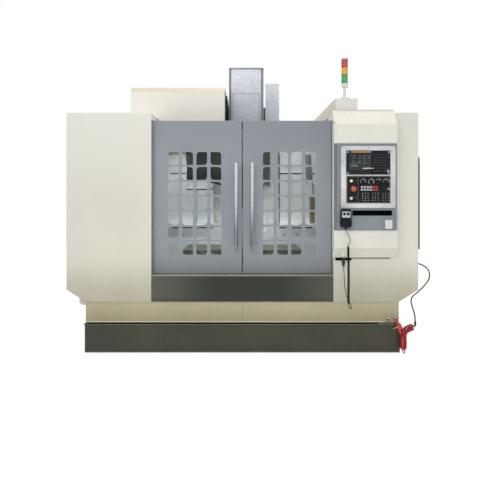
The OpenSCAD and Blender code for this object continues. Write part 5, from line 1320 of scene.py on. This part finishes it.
# ---- head cover, duct, tower
# Partly painted shade: grey strips round the front cover stand for the larger rear box, darker
# because it is in shade.
FRAME_SHADE_GREY = paint("cover_frame_shade_grey", "8B8C86", 0.44, 0.05, 0.12)
blocks(
    "head_cover_shaded_corners", FRAME_SHADE_GREY,
    (-139, -126.8, -459, -428, 2012, 2764, 1.2), (206.8, 221, -459, -428, 2012, 2764, 1.2),
    (-139, 221, -461.8, -428, 2748, 2764.6, 1.2), body="head",
)
joint = Shape()
joint.rim((-99.5, 2024, 176.5, 2498.5), (2, 2, 16, 16), 3, (1, 1, 13, 13), -0.8, (0, -462.2, 0))
joint.done("access_plate_joint", DARK_COAT, "head")
head_screws, vents = Shape(), Shape()
head_screws.screws((-86, 163), -462.4, (2040, 2260, 2484), FORE, 9, 1.8)
head_screws.screws(38, -462.4, (2040, 2484), FORE, 9, 1.8)
for s, facing, x, x_front in ((-1, LEFT, -150, -127.5), (1, RIGHT, 230, 207.5)):
    head_screws.screws(x, (-30, 80, 170), (2080, 2400, 2700), facing, 9, 2)
    head_screws.screws(x_front, (-400, -260, -120), (2060, 2740), facing, 9, 2)
    for z in range(2560, 2701, 20):
        vents.box(x_front + s * 0.1, x_front + s * 6, -330, -170, z, z + 5, 1.8)
head_screws.done("head_cover_screws", ZINC, "head")
vents.done("head_cover_louvres", HEAD_SKIN, "head")
skirt = Shape().box(262, 420, 60, 335, 2266, 2310.5, 0.8)
skirt.box(262.4, 419.6, 58.4, 60, 2500, 2501.5)
skirt.screws((274, 408), 60, (2330, 2480, 2520, 2690), FORE, 8, 1.6)
skirt.done("chain_housing_skirt", DUCT)
blocks(
    "magazine_guide_plate", DARK_COAT,
    (-170.5, -161, -320, 196, 2186, 2500, 1), (-160.8, -156, -250, 150, 2200, 2470, 0.8),
)

TOWER_X, TOWER_Y, LENS_Z = 943, -1098, (2472, 2544, 2616)
profile = [(28.8, 1.5), *((r, h + 5.5 * k) for k in range(12) for r, h in ((30.2, 4), (29.2, 6.6))),
           (28.8, 70.5)]
for name, z, finish in zip(("green", "amber", "red"), LENS_Z, (LENS_GREEN, LENS_AMBER, LENS_RED)):
    lens = Shape().turned(profile, (TOWER_X, TOWER_Y, z), sides=48)
    lens.done("tower_lens_" + name, finish)
rings = Shape()
for z in (*LENS_Z, 2688):
    rings.turned([(28.6, -1.6), (30.6, -1.6), (30.6, 1.6), (28.6, 1.6), (28.6, -1.6)],
                 (TOWER_X, TOWER_Y, z), sides=48)
for x, _, y in arc(TOWER_X, 0, TOWER_Y, 34, 4, tau / 8)[1:]:
    rings.screw((x, y, 2334), UP, 7, 2, "cap")
rings.done("tower_rings", KNOB)

# Hinged edge rail on the right flank, and under the pendant a black block and a dull olive lip that
# are its painted shadow
flank = Shape().box(1602.2, 1617.5, -1157, -1126, 947, 1744, 3)
for z in range(965, 1730, 95):
    flank.rod((1613, -1141, z), (1613, -1141, z + 60), 14, sides=18, soft=1)
flank.done("right_flank_rail", moulded("flank_rail", "2A211D", 0.46, 160, 0.1, 0.3))
# Painted shadow of the pendant: black at its left end, olive further right.
blocks("pendant_shadow_block", SHADE, (846, 992, -1171, -1160.2, 846, 871, 4, None, 3))
LIP_SHADOW_COAT = paint("lip_shadow_coat", "8B8C79", 0.55, 0.06, 0.1)
blocks("pendant_shadow_lip", LIP_SHADOW_COAT, (993, 1346, -1168, -1160.2, 860, 872.5, 3))

# ---- rear
DOOR_BACK, REAR_Y, ON_DOOR = 1335.1, 400.2, "cabinet_door"
gasket = Shape().rim((-548, 512, 628, 2168), 8, 12, 5, -3, (0, 1311, 0))
gasket.done("cabinet_gasket", RUBBER)
locks, handles, intake = Shape(), Shape(), Shape()
for z in (1000, 1680):
    locks.plate(frame_of(582, z - 6, 608, z + 96, 6), 4, (0, 1343, 0), soft=1.2)
    handles.rod((595, 1347, z + 70), (595, 1351, z + 70), 15, sides=22, soft=0.8)
    handles.box(588, 602, 1347, 1353.5, z + 8, z + 52, 2.4)
locks.done("cabinet_lock_plates", KNOB, ON_DOOR)
handles.done("cabinet_lock_handles", ZINC, ON_DOOR)
for z0 in (640, 1330):
    intake.plate(frame_of(-420, z0, -160, z0 + 230, 8), 3, (0, 1335.2, 0), soft=1)
    for z in range(z0 + 14, z0 + 205, 19):
        intake.box(-404, -176, 1338, 1344, z, z + 7, 2.2)
GRILLE = moulded("grille_grey", "6C7073", 0.48, 240, 0.08, 0.1)
intake.done("cabinet_filter_grilles", GRILLE, ON_DOOR)
hole = [(x, z) for x, _, z in arc(490, 0, 1760, 34, 32)[:-1]]
plate = Shape().plate(frame_of(446, 1716, 534, 1804, 6), 1, (0, DOOR_BACK, 0), holes=[hole])
SWITCH_YELLOW = moulded("switch_yellow", "D9B63A", 0.42, 240, 0.05, 0.08)
plate.done("switch_plate", SWITCH_YELLOW, ON_DOOR)
fold = Shape().rim((-554, 506, 634, 2174), 10, 6, 8, 1.2, (0, DOOR_BACK, 0))
for z in (728, 1948):
    fold.rod((-566, 1325, z - 30), (-566, 1325, z + 2), 17, sides=20, soft=1)
fold.done("cabinet_door_fold", DOOR_EDGE, ON_DOOR)

rear = Shape()
for (x0, x1), z in product(((-1520, -900), (900, 1520)), (700, 1440)):
    rear.plate(frame_of(x0, z, x1, z + 660, 12), 4, (0, REAR_Y, 0), soft=1.4)
rear.done("rear_access_plates", CREAM)
rear_screws = Shape()
for s in SIDES:
    xs = [s * x for x in (925, 1210, 1495)]
    rear_screws.screws(xs, 404, (725, 1030, 1335, 1465, 1770, 2075), AFT, 12, 2.6)
    rear_screws.screws([s * x for x in (880, 1100, 1320, 1540)], 400, 2165, AFT, 11, 2.4)
rear_screws.screws(-560, 1130, range(560, 2160, 200), LEFT, 11, 2.4)
rear_screws.screws(640, 1130, range(560, 2160, 200), RIGHT, 11, 2.4)
rear_screws.done("rear_screws", ZINC)
blocks(
    "cabinet_louvres", CREAM, *((x, x + 5.9, 1010, 1230, z, z + 7, 2.4)
      for z in range(1500, 1787, 26) for x in (640.1, -566)),
)

# ---- table and spindle nose
TABLE_Z, SLOT_Y = 885.05, (-480, -330, -180)
scraped, slot_edges, slot_lines = [], [], []
for y in SLOT_Y:
    for s in SIDES:
        scraped.append((-599, 599, y + s * 7.6, y + s * 9.4, TABLE_Z, 885.6))
        slot_edges.append((-599, 599, y + s * 9.5, y + s * 16, TABLE_Z, 886.4))
    slot_lines.append((-599, 599, y + 24, y + 58, TABLE_Z, 885.9))
scraped += [(x - 0.5, x + 0.5, -629, -31, TABLE_Z, 885.25) for x in range(-560, 561, 40)]
blocks("table_scraping", GROUND, *scraped, body="table")
ends = Shape()
for s, facing in zip(SIDES, (LEFT, RIGHT)):
    ends.screws(s * 600, (-560, -410, -250, -100), 846, facing, 16, 8, "cap")
    ends.box(s * 600.2, s * 604, -628, -32, 800, 830, 1.5)
ends.screws(range(-420, 421, 280), -630, 832, FORE, 14, 7, "cap")
ends.done("table_end_screws", BLACK_OXIDE, "table")
nose = Shape()
for x, _, y in arc(40, 0, -330, 62, 6, 0.3)[1:]:
    nose.screw((x, y, 1650), DOWN, 10, 4, "cap")
nose.done("nose_bolts", BLACK_OXIDE, "head")

# Right rear corner of the work area: a stained cover below, a sloping guard above
STAINED = metal("stained_steel", "8C7C62", 0.5, (3, 3, 30), 0.1, 0.25, 0.2)
blocks("corner_cover", STAINED, (772, 826, 86, WALL_Y, 1124, 1418, 1.5))
guard = Shape()
guard.plate([(722, 1900), (742, 1610), (796, 1610), (772, 1900)], -5, (0, WALL_Y, 0), soft=0.8)
guard.rod((719, 91, 1905), (740, 91, 1560), 11, sides=12)
guard.rod((776, 91, 1905), (812, 91, 1440), 12, sides=12)
GUARD_STEEL = metal("guard_steel", "858A87", 0.46, (3, 3, 20), 0.1, 0.15, 0.3)
guard.done("corner_sloping_guard", GUARD_STEEL)
blocks("table_slot_edges", GROUND, *slot_edges, body="table")
OILED = moulded("oiled_iron", "3A3629", 0.35, 120, 0.1, 0.4)
blocks("table_oil_lines", OILED, *slot_lines, body="table")

# ---- apron and lubricator
# Foot of the apron, a black strip of painted shade in the gap over the tank, and the heads of the
# hanging bolts, white for their painted highlights and black for their painted shade
FOOT_COAT = paint("apron_foot_coat", "D3CDB4", 0.48, 0.04, 0.1)
blocks("apron_foot_strip", FOOT_COAT, (-1427, 1300, -1152.4, -1150.2, 279.5, 291, 0.8))
# Painted shade: black strip for the dark gap between apron and tank.
blocks("tank_gap_painted_shade", SHADE, (-1405, 1240, -1153.2, -1149.8, 268, 279, 0.5))
# Painted highlight and shade: white washers for the lit tops of the bolt heads, black nuts for
# their shaded undersides.
bolt_highlights, bolt_shaded_nuts = Shape(), Shape()
for x in (1325, 1390):
    bolt_highlights.rod((x, FRONT, 321), (x, FRONT - 9, 321), 19, sides=24, soft=1.4)
    bolt_shaded_nuts.rod((x - 3, FRONT, 306), (x - 3, FRONT - 7, 306), 15, sides=6, soft=1)
bolt_highlights.done("hanging_bolt_painted_highlights", WHITE)
bolt_shaded_nuts.done("hanging_bolt_nuts_painted_shade", KNOB)
panes, rims, at = Shape(), Shape(), (0, -1090.1, 0)
for x, z in ((-1496, 446), (-1472, 446), (-1450, 435)):
    panes.plate(frame_of(x, z, x + 17, z + 28, 3), -1.4, at, soft=0.4)
    rims.rim((x - 2, z - 2, x + 19, z + 30), 4, 2, 3, -0.8, at)
panes.done("lubricator_sight_windows", WHITE)
rims.done("lubricator_window_rims", moulded("sight_rim", "A9A28A", 0.4, 260, 0.05, 0.1))
